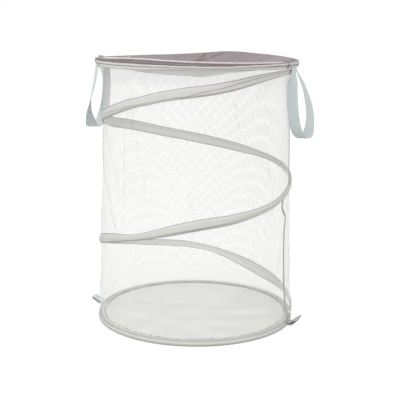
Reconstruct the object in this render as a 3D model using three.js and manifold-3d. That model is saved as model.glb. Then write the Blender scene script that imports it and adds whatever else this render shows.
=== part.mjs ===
// A pop-up laundry hamper: a round net bin that two wire hoops and a wire spiral hold open.
// Its fabric lid closes with a zip, two webbing loops carry it and two webbing tabs hold it folded.
// Millimetres. The origin is the middle of the underside. +Z is up, -Y the front, +X the right.
// An azimuth is an angle about +Z from +X, and a turn counts down the spiral the other way round.

import * as THREE from "three";
import { mergeVertices } from "three/addons/utils/BufferGeometryUtils.js";
import Module from "manifold-3d";

const wasm = await Module();
wasm.setup();

const DEGREE = Math.PI / 180;
const FULL_TURN = 360;

// Whole object
const HOOP_RADIUS = 189; // middle of the wire of both hoops
const RIM_HEIGHT = 505; // floor to the top of the rim's hem
const GAP = 0.35; // between pieces that lie on one another
const OVERRUN = 5; // how far a cutting solid runs past what it cuts

// Facets of what goes all the way round
const FACETS = 48;
const FACET_ANGLE = FULL_TURN / FACETS;
const HALF_FACET_SHARE = Math.cos((FACET_ANGLE / 2) * DEGREE); // a facet's distance by its corner's
const OCTAGON_SHARE = Math.tan(22.5 * DEGREE); // half a side of an octagon by its inner radius

// Cloth and net
const HEM_CLOTH = 0.8;
const LID_CLOTH = 0.8;
const FLOOR_CLOTH = 0.8;
const NET_THICKNESS = 0.6;

// Hoops, hems and the crimped ferrule that joins a hoop's ends
const HOOP_WIRE_RADIUS = 1.2;
const FERRULE_WALL = 0.5;
const RIM_HEM_HEIGHT = 10.5;
const FOOT_HEM_HEIGHT = 12;
const FERRULE_FACETS_FROM_BACK = 1;

// The net wall is drawn in between the hoops: how far, and how much of it at which share of its height
const WAIST_TUCK = 11;
const WAIST_SHARES = [
  [0, 0],
  [0.09, 0.05],
  [0.27, 0.28],
  [0.46, 0.52],
  [0.63, 0.74],
  [0.79, 0.92],
  [0.9, 1],
  [0.955, 0.92],
  [0.98, 0.6],
  [1, 0],
];

// Binding of the wall's upright seam, on the net's inner side
const SEAM_AZIMUTH = -2.5 * FACET_ANGLE;
const SEAM_WIDTH = 5;
const SEAM_THICKNESS = 1;

// Floor: a round panel, and the piped seam that joins it to the hem
const FLOOR_PIPING_RADIUS_SHARE = 0.958; // of the hoops' radius
const FLOOR_PIPING_WIDTH = 3.4;
const FLOOR_PIPING_HEIGHT = 2.4;

// Spiral: a wire in a flat cloth sleeve, sewn on the outside of the net
const SPIRAL_WIRE_RADIUS = 1;
const SLEEVE_WIDTH = 20.5;
const SLEEVE_CLOTH = 0.8;
const SPIRAL_FIRST_TURN = 2 * FACET_ANGLE;
const SPIRAL_LAST_TURN = 2 * FULL_TURN + 2 * FACET_ANGLE;
const SPIRAL_TAPER_ANGLE = 60; // the sleeve narrows over this much of a turn at both ends
const SPIRAL_END_WIDTH_SHARE = 0.36;
const SLEEVE_CROWN_SHARE = 0.75; // half width of the flat over the wire by that of the part round it
const SLEEVE_SHOULDER_SHARE = 1.5; // the section's height beside that part by the cloth's thickness
const SPIRAL_POINT_ANGLE = 45; // between the heights below
const SPIRAL_HEIGHT_SHARES = [
  0.988, 0.979, 0.919, 0.871, 0.807, 0.733, 0.665, 0.611, 0.558,
  0.487, 0.438, 0.36, 0.284, 0.211, 0.175, 0.09, 0.034, 0.0075, 0.0075,
];
const WIRE_END_LENGTH = 8; // bare wire past the sleeve's end
const CAP_FACETS = 12;
const CAP_RADIUS = 1.9;
const CAP_LENGTH = 8;
const CAP_END_WALL = 1.2;
const CAP_FROM_SLEEVE = 1.5;

// Lid: the fold line that it opens about runs between the zip's ends
const FOLD_LINE_Y = 62;
const LID_SAG = 34;
const LID_SAG_POWER = 2.2;
const LID_SAG_LEAN_SHARE = 0.12; // how much deeper the sag is on the left
// The lid's edge behind the fold line puffs up in one place and lies lower beside it:
// the azimuth, and the height from the edge's own by the rise
const LID_BACK_RISE = 4;
const LID_BACK_SHARES = [
  [15, 0],
  [26, -0.6],
  [42, -1],
  [56, -0.4],
  [72, 0.8],
  [88, -0.2],
  [104, -0.9],
  [124, -1.05],
  [148, -0.8],
  [165, 0],
];
const LID_BACK_SAMPLES = 8;
const LID_RING_SHARES = [0, 0.16, 0.32, 0.48, 0.63, 0.77, 0.89, 0.96, 1];
const LID_CREASE_DEPTH = 4;
const LID_CREASES = [
  { azimuth: 97.5, spread: 9, share: 1 },
  { azimuth: -82.5, spread: 10, share: 0.9 },
  { azimuth: 67.5, spread: 9, share: 0.8 },
  { azimuth: -120, spread: 12, share: -0.7 },
  { azimuth: -37.5, spread: 12, share: -0.6 },
  { azimuth: 150, spread: 14, share: 0.5 },
  { azimuth: -165, spread: 12, share: 0.5 },
];
const PIPING_RADIUS = 1.1;

// Zip, seen from the side of the rim: two tapes with a coil each, and the way between them
const ZIP_TAPE_THICKNESS = 0.6;
const ZIP_TAPE_LOWER_HEIGHT = 5.4;
const ZIP_TAPE_UPPER_HEIGHT = 2.6;
const ZIP_TAPE_OVER_HEM = 0.9;
const ZIP_WAY = 0.9; // between the two tapes, for the slider's neck
const ZIP_COIL_THICKNESS = 1.4;
const ZIP_COIL_HEIGHT = 1.4;
const ZIP_COIL_SET_BACK = 0.3; // from its tape's edge
const ZIP_STEP_ANGLE = 3.75;
const ZIP_STOP_LENGTH = 4.6;
const ZIP_END_MARGIN = 0.5; // between the zip's ends and the lid's fold line

// Zip slider and its pull
const SLIDER_PARK_ANGLE = 5; // from the zip's left end
const SLIDER_LENGTH = 10;
const SLIDER_HEIGHT = 8.6;
const SLIDER_NOSE_SHARE = 0.55; // its narrow end by its wide end
const SLIDER_PLATE = 1.4;
const SLIDER_BACK_PLATE = 1.2;
const SLIDER_BACK_HEIGHT = 3.2;
const SLIDER_NECK_LENGTH = 4;
const SLIDER_NECK_HEIGHT = 0.4;
const BRIDGE_HALF_LENGTH = 3.9;
const BRIDGE_FOOT = 0.9;
const BRIDGE_TOP = 0.8;
const BRIDGE_WIDTH = 2.4;
const BRIDGE_TUNNEL = 2.3;
const PULL_LENGTH = 24;
const PULL_WIDTH = 6.2;
const PULL_THICKNESS = 1.2;
const PULL_BAR = 1.2;
const PULL_EYE_PLAY = 0.5;
const PULL_EYE_LENGTH = 4.1;
const PULL_HOLE_RADIUS = 1.3;
const PULL_TIP_SHARE = 0.8; // the tongue's rounded end by its width
const PULL_CURVE_SEGMENTS = 6;

// Webbing handles. Each loop hangs from its two sewn ends, front and rear
const WEBBING_WIDTH = 20;
const WEBBING_THICKNESS = 1.4;
const HANDLE_HALF_ANGLE = 19; // from a handle's middle to each of its ends
const HANDLE_END_HEIGHT = 5;
const HANDLE_LIFT_FROM_MOUTH = 0.7; // an end's lower edge above the rim hem's mouth
const HANDLE_STATIONS = 30;
// How far each loop hangs down and how far its loose strand bows out
const RIGHT_HANDLE_AZIMUTH = -5;
const RIGHT_HANDLE_DROP = 134;
const RIGHT_HANDLE_STAND_OFF = 30;
const LEFT_HANDLE_AZIMUTH = 178;
const LEFT_HANDLE_DROP = 121;
const LEFT_HANDLE_STAND_OFF = 16;
// A loop's route goes from the end with the lower azimuth to the other: angle from its middle by the
// half angle, outward bow by the stand-off, drop by the handle's drop, and the turn of its width from
// along the rim by a quarter
const HANDLES = [
  {
    side: "right",
    azimuth: RIGHT_HANDLE_AZIMUTH,
    drop: RIGHT_HANDLE_DROP,
    standOff: RIGHT_HANDLE_STAND_OFF,
    ends: ["front", "rear"],
    routeShares: [
      [-1, 0, 0, 0],
      [-1, -0.02, 0.07, 0.1],
      [-0.99, -0.06, 0.2, 0.5],
      [-0.95, -0.06, 0.42, 0.72],
      [-0.86, 0, 0.67, 0.78],
      [-0.64, 0.12, 0.88, 0.88],
      [-0.28, 0.36, 0.99, 1],
      [0.12, 0.66, 0.985, 0.92],
      [0.42, 0.89, 0.85, 0.66],
      [0.64, 0.91, 0.66, 0.57],
      [0.82, 0.78, 0.5, 0.5],
      [0.94, 0.52, 0.33, 0.42],
      [0.99, 0.24, 0.16, 0.2],
      [1, 0, 0, 0],
    ],
  },
  {
    side: "left",
    azimuth: LEFT_HANDLE_AZIMUTH,
    drop: LEFT_HANDLE_DROP,
    standOff: LEFT_HANDLE_STAND_OFF,
    ends: ["rear", "front"],
    routeShares: [
      [-1, 0, 0, 0],
      [-1, -0.03, 0.08, 0.12],
      [-1, -0.06, 0.25, 0.24],
      [-0.98, -0.02, 0.48, 0.28],
      [-0.9, 0.05, 0.7, 0.4],
      [-0.68, 0.12, 0.89, 0.7],
      [-0.3, 0.3, 0.985, 1],
      [0.14, 0.6, 0.965, 0.95],
      [0.46, 0.9, 0.84, 0.56],
      [0.66, 1, 0.7, 0.33],
      [0.84, 0.78, 0.53, 0.16],
      [0.95, 0.45, 0.34, 0.04],
      [0.99, 0.16, 0.16, 0],
      [1, 0, 0, 0],
    ],
  },
];

// Webbing tabs at the foot: each is a strip folded double, whose two plies part a little
const TAB_LENGTH = 27;
const TAB_PLY_GAP = 3; // between the plies where they are furthest apart
const TAB_SEAM_LENGTH = 3; // the plies are sewn together over this much at the root
const TAB_LEVEL_SHARE = 0.25; // of its length that stands out level before it rises
const TAB_ROOT_HEIGHT = 6.5;
const TAB_STATIONS = 8;
const TAB_RIGHT_AZIMUTH = -21;
const TAB_RIGHT_RISE_ANGLE = 42;
const TAB_LEFT_AZIMUTH = 164;
const TAB_LEFT_RISE_ANGLE = 31;
const TABS = [
  { name: "tab_right", azimuth: TAB_RIGHT_AZIMUTH, rise: TAB_RIGHT_RISE_ANGLE },
  { name: "tab_left", azimuth: TAB_LEFT_AZIMUTH, rise: TAB_LEFT_RISE_ANGLE },
];

// Colours and finishes
const FINISHES = {
  net: { color: 0xf4f4f0, roughness: 0.85, metalness: 0 },
  greige: { color: 0xd6d7cf, roughness: 0.8, metalness: 0 },
  floor: { color: 0xdcddd9, roughness: 0.85, metalness: 0 },
  mauve: { color: 0xa5989b, roughness: 0.7, metalness: 0 },
  piping: { color: 0xe2dad8, roughness: 0.6, metalness: 0 },
  zip: { color: 0x9c9093, roughness: 0.5, metalness: 0 },
  webbing: { color: 0xbac2c5, roughness: 0.8, metalness: 0 },
  wire: { color: 0x8d9296, roughness: 0.35, metalness: 0.9 },
  cap: { color: 0xe6e6e2, roughness: 0.4, metalness: 0 },
  slider: { color: 0xb9b3b4, roughness: 0.4, metalness: 0.3 },
};

// Values that follow from the ones above
const HOOP_ROOM = HOOP_WIRE_RADIUS + GAP + FERRULE_WALL + GAP; // from the wire's middle to the cloth
const HEM_HALF_WIDTH = HOOP_ROOM + HEM_CLOTH;
const HEM_MOUTH_ROOM = NET_THICKNESS / 2 + GAP;
const HEM_OUTER_RADIUS = HOOP_RADIUS + HEM_HALF_WIDTH;
const RIM_HEM_MOUTH = RIM_HEIGHT - RIM_HEM_HEIGHT;
const HOOP_DEPTH = HEM_HALF_WIDTH; // from a hem's fold to its wire's middle
const WALL_BOTTOM = HOOP_DEPTH + HOOP_ROOM;
const WALL_TOP = RIM_HEIGHT - WALL_BOTTOM;
const WALL_FREE_HEIGHT = RIM_HEM_MOUTH - FOOT_HEM_HEIGHT;
const FLOOR_RADIUS = HOOP_RADIUS - HEM_HALF_WIDTH - GAP;

const SLEEVE_ROOM = SPIRAL_WIRE_RADIUS + GAP;
const SLEEVE_MIDDLE = SLEEVE_CLOTH + SLEEVE_ROOM; // from the sleeve's back to its wire's middle
const SLEEVE_CORE = SLEEVE_MIDDLE; // half width of the part that goes round the wire
const SLEEVE_SHOULDER = 2 * SLEEVE_CORE;

const ZIP_INNER_RADIUS = HEM_OUTER_RADIUS + GAP;
const ZIP_TAPE_RADIUS = ZIP_INNER_RADIUS + ZIP_TAPE_THICKNESS;
const ZIP_COIL_INNER_RADIUS = ZIP_TAPE_RADIUS + GAP;
const ZIP_COIL_RADIUS = ZIP_COIL_INNER_RADIUS + ZIP_COIL_THICKNESS;
const ZIP_LOWER_EDGE = RIM_HEIGHT + ZIP_TAPE_OVER_HEM; // the lower tape's top
const ZIP_UPPER_EDGE = ZIP_LOWER_EDGE + ZIP_WAY; // the upper tape's bottom
const ZIP_WAY_MIDDLE = ZIP_LOWER_EDGE + ZIP_WAY / 2;
const ZIP_SEAM_HEIGHT = ZIP_LOWER_EDGE - ZIP_TAPE_LOWER_HEIGHT;
const ZIP_TOP = ZIP_UPPER_EDGE + ZIP_TAPE_UPPER_HEIGHT;
const PIPING_HEIGHT = ZIP_TOP + GAP + PIPING_RADIUS;
const PIPING_RING_RADIUS = ZIP_TAPE_RADIUS - PIPING_RADIUS;
const LID_RADIUS = PIPING_RING_RADIUS - PIPING_RADIUS - GAP;
const LID_EDGE_HEIGHT = PIPING_HEIGHT; // the lid's cloth meets the piping at its middle
const FOLD_AXIS_HEIGHT = PIPING_HEIGHT + PIPING_RADIUS + GAP;

// The zip runs from the left end of the fold line, round the front, to its right end.
const ZIP_END_ANGLE = Math.asin((FOLD_LINE_Y - ZIP_END_MARGIN) / HOOP_RADIUS) / DEGREE;
const ZIP_FIRST_AZIMUTH = 180 - ZIP_END_ANGLE;
const ZIP_LAST_AZIMUTH = FULL_TURN + ZIP_END_ANGLE;
const SKIRT_END_ANGLE = Math.asin((FOLD_LINE_Y + ZIP_END_MARGIN) / HOOP_RADIUS) / DEGREE;

// Helpers

function flat(pairs) {
  return pairs.map(([u, v]) => new THREE.Vector2(u, v));
}

// The point at an azimuth, a distance from the axis and a height.
function polar(azimuth, radius, height) {
  const angle = azimuth * DEGREE;
  return new THREE.Vector3(radius * Math.cos(angle), radius * Math.sin(angle), height);
}

// The geometry with only its positions, its shared points merged and its faces pointing out.
function closedGeometry(geometry) {
  const bare = geometry.clone();
  bare.deleteAttribute("normal");
  bare.deleteAttribute("uv");
  const merged = mergeVertices(bare);
  const at = merged.attributes.position;
  const index = merged.index.array;
  const a = new THREE.Vector3();
  const b = new THREE.Vector3();
  const c = new THREE.Vector3();
  let volume = 0;
  for (let i = 0; i < index.length; i += 3) {
    a.fromBufferAttribute(at, index[i]);
    b.fromBufferAttribute(at, index[i + 1]);
    c.fromBufferAttribute(at, index[i + 2]);
    volume += a.dot(b.cross(c));
  }
  if (volume < 0) {
    for (let i = 0; i < index.length; i += 3) {
      [index[i + 1], index[i + 2]] = [index[i + 2], index[i + 1]];
    }
  }
  return merged;
}

function toManifold(geometry) {
  const closed = closedGeometry(geometry);
  return new wasm.Manifold(
    new wasm.Mesh({
      numProp: 3,
      vertProperties: closed.attributes.position.array,
      triVerts: new Uint32Array(closed.index.array),
    }),
  );
}

function fromManifold(body) {
  const mesh = body.getMesh();
  return new THREE.BufferGeometry()
    .setAttribute("position", new THREE.BufferAttribute(mesh.vertProperties, mesh.numProp))
    .setIndex(new THREE.BufferAttribute(mesh.triVerts, 1));
}

// A ring all the way round, from a closed outline of [radius, height] pairs.
function ring(outline) {
  const loop = flat([...outline, outline[0]]);
  return closedGeometry(new THREE.LatheGeometry(loop, FACETS).rotateX(90 * DEGREE));
}

// A body swept through stations. Each station is a function that sets a flat point in space,
// and the outline may have one hole that runs the whole length.
function sweep(outline, stations, hole = []) {
  const loops = [flat(outline), flat(hole)].filter((loop) => loop.length);
  const points = loops.flat();
  const positions = stations.flatMap((place) => points.flatMap((p) => place(p.x, p.y).toArray()));
  const count = points.length;
  const index = [];
  let first = 0;
  loops.forEach((loop, n) => {
    const outer = n === 0;
    const turned = THREE.ShapeUtils.isClockWise(loop) === outer;
    for (let s = 0; s + 1 < stations.length; s += 1) {
      for (let i = 0; i < loop.length; i += 1) {
        const a = s * count + first + i;
        const b = s * count + first + ((i + 1) % loop.length);
        const quad = turned ? [b, a, a + count, b + count] : [a, b, b + count, a + count];
        index.push(quad[0], quad[1], quad[2], quad[0], quad[2], quad[3]);
      }
    }
    first += loop.length;
  });
  const last = (stations.length - 1) * count;
  for (const [a, b, c] of THREE.ShapeUtils.triangulateShape(loops[0], loops.slice(1))) {
    const clockwise = THREE.ShapeUtils.isClockWise([points[a], points[b], points[c]]);
    const [second, third] = clockwise ? [c, b] : [b, c];
    index.push(a, third, second, last + a, last + second, last + third);
  }
  const geometry = new THREE.BufferGeometry();
  geometry.setAttribute("position", new THREE.Float32BufferAttribute(positions, 3));
  geometry.setIndex(index);
  return closedGeometry(geometry);
}

// Evenly spaced values from one end to the other, no further apart than the step.
function spaced(from, to, step) {
  const count = Math.max(1, Math.ceil((to - from) / step - 1e-6));
  return Array.from({ length: count + 1 }, (_, i) => from + ((to - from) * i) / count);
}

// A band along part of the rim, from an outline of [radius, height] pairs.
function rimBand(outline, from, to) {
  const stations = spaced(from, to, ZIP_STEP_ANGLE).map(
    (azimuth) => (radius, height) => polar(azimuth, radius, height),
  );
  return sweep(outline, stations);
}

function rectangle(low, high, bottom, top) {
  return [
    [low, bottom],
    [high, bottom],
    [high, top],
    [low, top],
  ];
}

// A regular octagon with flat sides up, down, in and out, by its inner radius.
function octagon(radius, u = 0, v = 0) {
  const near = radius * OCTAGON_SHARE;
  const corners = [
    [near, -radius],
    [radius, -near],
    [radius, near],
    [near, radius],
    [-near, radius],
    [-radius, near],
    [-radius, -near],
    [-near, -radius],
  ];
  return corners.map(([x, y]) => [u + x, v + y]);
}

function hexagon(radius, u = 0, v = 0) {
  return Array.from({ length: 6 }, (_, i) => {
    const angle = i * 60 * DEGREE;
    return [u + radius * Math.cos(angle), v + radius * Math.sin(angle)];
  });
}

function box(xs, ys, zs) {
  const size = [xs, ys, zs].map(([low, high]) => high - low);
  const middle = [xs, ys, zs].map(([low, high]) => (low + high) / 2);
  return new THREE.BoxGeometry(...size).translate(...middle);
}

// The wall

// The middle of the net's thickness at a height, straight between the heights of the waist's shares.
function wallRadius(height) {
  const share = THREE.MathUtils.clamp((height - FOOT_HEM_HEIGHT) / WALL_FREE_HEIGHT, 0, 1);
  const above = Math.max(1, WAIST_SHARES.findIndex(([at]) => at >= share));
  const [low, lowTuck] = WAIST_SHARES[above - 1];
  const [high, highTuck] = WAIST_SHARES[above];
  const tuck = lowTuck + ((highTuck - lowTuck) * (share - low)) / (high - low);
  return HOOP_RADIUS - WAIST_TUCK * tuck;
}

function wallHeights() {
  const free = WAIST_SHARES.map(([share]) => FOOT_HEM_HEIGHT + WALL_FREE_HEIGHT * share);
  return [WALL_BOTTOM, ...free, WALL_TOP];
}

function meshWall() {
  const half = NET_THICKNESS / 2;
  const outside = wallHeights().map((height) => [wallRadius(height) + half, height]);
  const inside = wallHeights().map((height) => [wallRadius(height) - half, height]);
  return ring([...outside, ...inside.reverse()]);
}

// The seam's strip lies on the middle of one facet, inside the net.
function wallSeamBinding() {
  const azimuth = SEAM_AZIMUTH;
  const along = polar(azimuth + 90, 1, 0);
  const heights = wallHeights().slice(1, -1);
  heights[0] += GAP;
  heights[heights.length - 1] -= GAP;
  const stations = heights.map((height) => (u, v) => {
    const face = (wallRadius(height) - NET_THICKNESS / 2) * HALF_FACET_SHARE - GAP;
    return polar(azimuth, face - v, height).addScaledVector(along, u);
  });
  return sweep(rectangle(-SEAM_WIDTH / 2, SEAM_WIDTH / 2, 0, SEAM_THICKNESS), stations);
}

// Hoops and hems

// A hem is a folded cloth channel: its fold goes round the hoop and its mouth takes the net's edge.
// The outline gives [offset from the hoop's radius, distance from the fold].
function hemOutline(height) {
  const fold = HEM_HALF_WIDTH;
  const room = HOOP_ROOM;
  const outer = [
    [fold * OCTAGON_SHARE, 0],
    [fold, fold * (1 - OCTAGON_SHARE)],
    [fold, fold * (1 + OCTAGON_SHARE)],
    [HEM_MOUTH_ROOM + HEM_CLOTH, height],
  ];
  const inner = [
    [HEM_MOUTH_ROOM, height],
    [room, fold + room * OCTAGON_SHARE],
    [room, fold - room * OCTAGON_SHARE],
    [room * OCTAGON_SHARE, fold - room],
  ];
  const half = [...outer, ...inner];
  return [...half, ...half.map(([u, v]) => [-u, v]).reverse()];
}

function footHem() {
  return ring(hemOutline(FOOT_HEM_HEIGHT).map(([u, v]) => [HOOP_RADIUS + u, v]));
}

function rimHem() {
  return ring(hemOutline(RIM_HEM_HEIGHT).map(([u, v]) => [HOOP_RADIUS + u, RIM_HEIGHT - v]));
}

function hoop(height) {
  return ring(hexagon(HOOP_WIRE_RADIUS, HOOP_RADIUS, height));
}

// The ferrule is as long as one facet and lies on it, at the back where the hoop's ends meet.
function ferrule(height) {
  const from = 90 - FERRULE_FACETS_FROM_BACK * FACET_ANGLE;
  const stations = [from, from + FACET_ANGLE].map(
    (azimuth) => (u, v) => polar(azimuth, HOOP_RADIUS + u, height + v),
  );
  const bore = HOOP_WIRE_RADIUS + GAP;
  return sweep(octagon(bore + FERRULE_WALL), stations, octagon(bore));
}

// Floor

function floorPanel() {
  const disc = new THREE.CylinderGeometry(FLOOR_RADIUS, FLOOR_RADIUS, FLOOR_CLOTH, FACETS);
  return disc.rotateX(90 * DEGREE).translate(0, 0, FLOOR_CLOTH / 2);
}

function floorPiping() {
  const middle = HOOP_RADIUS * FLOOR_PIPING_RADIUS_SHARE;
  const half = FLOOR_PIPING_WIDTH / 2;
  const low = FLOOR_CLOTH + GAP;
  const high = low + FLOOR_PIPING_HEIGHT;
  return ring([
    [middle - half, low],
    [middle + half, low],
    [middle + half, (low + high) / 2],
    [middle + half / 2, high],
    [middle - half / 2, high],
    [middle - half, (low + high) / 2],
  ]);
}

// Spiral

const spiralHeights = new THREE.SplineCurve(
  SPIRAL_HEIGHT_SHARES.map((share, i) => new THREE.Vector2(i, share)),
);

function spiralHeight(turn) {
  const place = turn / SPIRAL_POINT_ANGLE / (SPIRAL_HEIGHT_SHARES.length - 1);
  return FOOT_HEM_HEIGHT + WALL_FREE_HEIGHT * spiralHeights.getPoint(place).y;
}

function spiralTurns() {
  return spaced(SPIRAL_FIRST_TURN, SPIRAL_LAST_TURN, FACET_ANGLE);
}

// The share of the full width that the sleeve has at a turn: less at both ends.
function sleeveShare(turn) {
  const fromEnd = Math.min(turn - SPIRAL_FIRST_TURN, SPIRAL_LAST_TURN - turn);
  const ramp = THREE.MathUtils.smoothstep(fromEnd, 0, SPIRAL_TAPER_ANGLE);
  return SPIRAL_END_WIDTH_SHARE + (1 - SPIRAL_END_WIDTH_SHARE) * ramp;
}

// Sets a point of the sleeve's section on the wall: u up the wall from the wire, v out from the net.
// The cloth beside the wire narrows where a hem or the sleeve's end leaves less room.
function sleevePlace(turn) {
  const middle = spiralHeight(turn);
  const full = SLEEVE_WIDTH / 2;
  const wanted = full * sleeveShare(turn);
  const up = Math.min(wanted, RIM_HEM_MOUTH - GAP - middle);
  const down = Math.min(wanted, middle - FOOT_HEM_HEIGHT - GAP);
  return (u, v) => {
    const side = Math.max(u > 0 ? up : down, SLEEVE_CORE);
    const beyond = Math.max(Math.abs(u) - SLEEVE_CORE, 0) / (full - SLEEVE_CORE);
    const reach = Math.min(Math.abs(u), SLEEVE_CORE) + (side - SLEEVE_CORE) * beyond;
    const height = middle + Math.sign(u) * reach;
    const radius = wallRadius(height) + NET_THICKNESS / 2 + GAP + v;
    return polar(-turn, radius, height);
  };
}

// The sleeve's section: flat on the net, and thicker where it goes round the wire.
function sleeveOutline() {
  const half = SLEEVE_WIDTH / 2;
  const crown = 2 * SLEEVE_MIDDLE;
  const crownHalf = SLEEVE_CORE * SLEEVE_CROWN_SHARE;
  const shoulder = SLEEVE_CLOTH * SLEEVE_SHOULDER_SHARE;
  return [
    [-half, 0],
    [half, 0],
    [half, SLEEVE_CLOTH],
    [SLEEVE_SHOULDER, shoulder],
    [crownHalf, crown],
    [-crownHalf, crown],
    [-SLEEVE_SHOULDER, shoulder],
    [-half, SLEEVE_CLOTH],
  ];
}

function spiralSleeve() {
  const bore = hexagon(SLEEVE_ROOM, 0, SLEEVE_MIDDLE);
  return sweep(sleeveOutline(), spiralTurns().map(sleevePlace), bore);
}

// The two ends of the wire. Each runs on past the sleeve along its facet of the wall, level.
function wireEnds() {
  const ends = [
    [SPIRAL_FIRST_TURN, 1],
    [SPIRAL_LAST_TURN, -1],
  ];
  return ends.map(([turn, side]) => {
    const facetMiddle = -turn + (side * FACET_ANGLE) / 2;
    return { turn, way: polar(facetMiddle + side * 90, 1, 0) };
  });
}

function spiralWire() {
  const outline = hexagon(SPIRAL_WIRE_RADIUS, 0, SLEEVE_MIDDLE);
  const [top, bottom] = wireEnds().map(({ turn, way }) => {
    const place = sleevePlace(turn);
    return (u, v) => place(u, v).addScaledVector(way, WIRE_END_LENGTH);
  });
  return sweep(outline, [top, ...spiralTurns().map(sleevePlace), bottom]);
}

// A round cap with a blind bore over a bare end of the wire.
function spiralCap({ turn, way }) {
  const bore = SPIRAL_WIRE_RADIUS + GAP;
  const depth = CAP_LENGTH - CAP_END_WALL;
  const outer = new THREE.CylinderGeometry(CAP_RADIUS, CAP_RADIUS, CAP_LENGTH, CAP_FACETS);
  outer.translate(0, CAP_LENGTH / 2, 0);
  const inner = new THREE.CylinderGeometry(bore, bore, depth + OVERRUN, CAP_FACETS);
  inner.translate(0, (depth - OVERRUN) / 2, 0);
  const cap = fromManifold(toManifold(outer).subtract(toManifold(inner)));
  const lean = new THREE.Quaternion().setFromUnitVectors(new THREE.Vector3(0, 1, 0), way);
  const start = sleevePlace(turn)(0, SLEEVE_MIDDLE).addScaledVector(way, CAP_FROM_SLEEVE);
  return cap.applyQuaternion(lean).translate(...start.toArray());
}

// The least distance from the sleeve's points on one turn of the spiral to those on the next.
function leastGapToItself() {
  const outline = sleeveOutline();
  const rows = spiralTurns().map((turn) => outline.map(([u, v]) => sleevePlace(turn)(u, v)));
  const apart = FACETS / 2;
  let least = Infinity;
  rows.forEach((row, i) => {
    for (const other of rows.slice(i + apart)) {
      for (const p of row) {
        for (const q of other) least = Math.min(least, p.distanceTo(q));
      }
    }
  });
  return least;
}

// Lid

// How far a crease pushes the lid's cloth up or down at an azimuth.
function creaseShare(azimuth) {
  return LID_CREASES.reduce((sum, crease) => {
    const off = THREE.MathUtils.euclideanModulo(azimuth - crease.azimuth + 180, FULL_TURN) - 180;
    return sum + crease.share * Math.exp(-((off / crease.spread) ** 2));
  }, 0);
}

const lidBackShares = new THREE.CatmullRomCurve3(
  LID_BACK_SHARES.map(([azimuth, share]) => new THREE.Vector3(azimuth, share, 0)),
  false,
  "centripetal",
);

// How far the cloth stands over its edge's own height behind the fold line.
function backRise(azimuth) {
  const [first, last] = [LID_BACK_SHARES[0], LID_BACK_SHARES[LID_BACK_SHARES.length - 1]];
  if (azimuth <= first[0] || azimuth >= last[0]) return 0;
  const points = lidBackShares.getPoints(LID_BACK_SHARES.length * LID_BACK_SAMPLES);
  const above = points.findIndex((point) => point.x >= azimuth);
  const [low, high] = [points[above - 1], points[above]];
  const share = THREE.MathUtils.mapLinear(azimuth, low.x, high.x, low.y, high.y);
  return LID_BACK_RISE * share;
}

// The height of the lid's cloth: a dish that hangs from its edge, with soft creases.
function lidHeight(azimuth, share) {
  const dish = 1 - share ** LID_SAG_POWER;
  const lean = 1 - LID_SAG_LEAN_SHARE * share * Math.cos(azimuth * DEGREE);
  const crease = LID_CREASE_DEPTH * creaseShare(azimuth) * Math.sin(share * 180 * DEGREE);
  const rise = backRise(azimuth) * share ** 3;
  return LID_EDGE_HEIGHT + rise - LID_SAG * dish * lean - crease;
}

function lidDish() {
  const half = LID_CLOTH / 2;
  const rings = LID_RING_SHARES.slice(1);
  const azimuths = Array.from({ length: FACETS }, (_, i) => i * FACET_ANGLE);
  const skin = (lift) => [
    new THREE.Vector3(0, 0, lidHeight(0, 0) + lift),
    ...rings.flatMap((share) =>
      azimuths.map((azimuth) => polar(azimuth, LID_RADIUS * share, lidHeight(azimuth, share) + lift)),
    ),
  ];
  const points = [...skin(half), ...skin(-half)];
  const under = points.length / 2;
  const at = (side, r, i) => side * under + 1 + r * FACETS + (i % FACETS);
  const index = [];
  for (let i = 0; i < FACETS; i += 1) {
    index.push(0, at(0, 0, i), at(0, 0, i + 1));
    index.push(under, at(1, 0, i + 1), at(1, 0, i));
    for (let r = 0; r + 1 < rings.length; r += 1) {
      index.push(at(0, r, i), at(0, r + 1, i), at(0, r + 1, i + 1));
      index.push(at(0, r, i), at(0, r + 1, i + 1), at(0, r, i + 1));
      index.push(at(1, r, i), at(1, r + 1, i + 1), at(1, r + 1, i));
      index.push(at(1, r, i), at(1, r, i + 1), at(1, r + 1, i + 1));
    }
    const edge = rings.length - 1;
    index.push(at(0, edge, i), at(1, edge, i), at(1, edge, i + 1));
    index.push(at(0, edge, i), at(1, edge, i + 1), at(0, edge, i + 1));
  }
  const geometry = new THREE.BufferGeometry().setFromPoints(points);
  geometry.setIndex(index);
  return toManifold(geometry);
}

// The half of space on one side of the lid's fold line, as a box around the lid.
function sideOfFold(side) {
  const reach = HEM_OUTER_RADIUS + ZIP_COIL_THICKNESS + OVERRUN;
  const from = FOLD_LINE_Y + side * GAP;
  const ys = side > 0 ? [from, reach] : [-reach, from];
  const heights = [RIM_HEM_MOUTH - LID_SAG - OVERRUN, RIM_HEIGHT + LID_SAG];
  return toManifold(box([-reach, reach], ys, heights));
}

function lidPanel() {
  return fromManifold(lidDish().intersect(sideOfFold(-1)));
}

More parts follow.
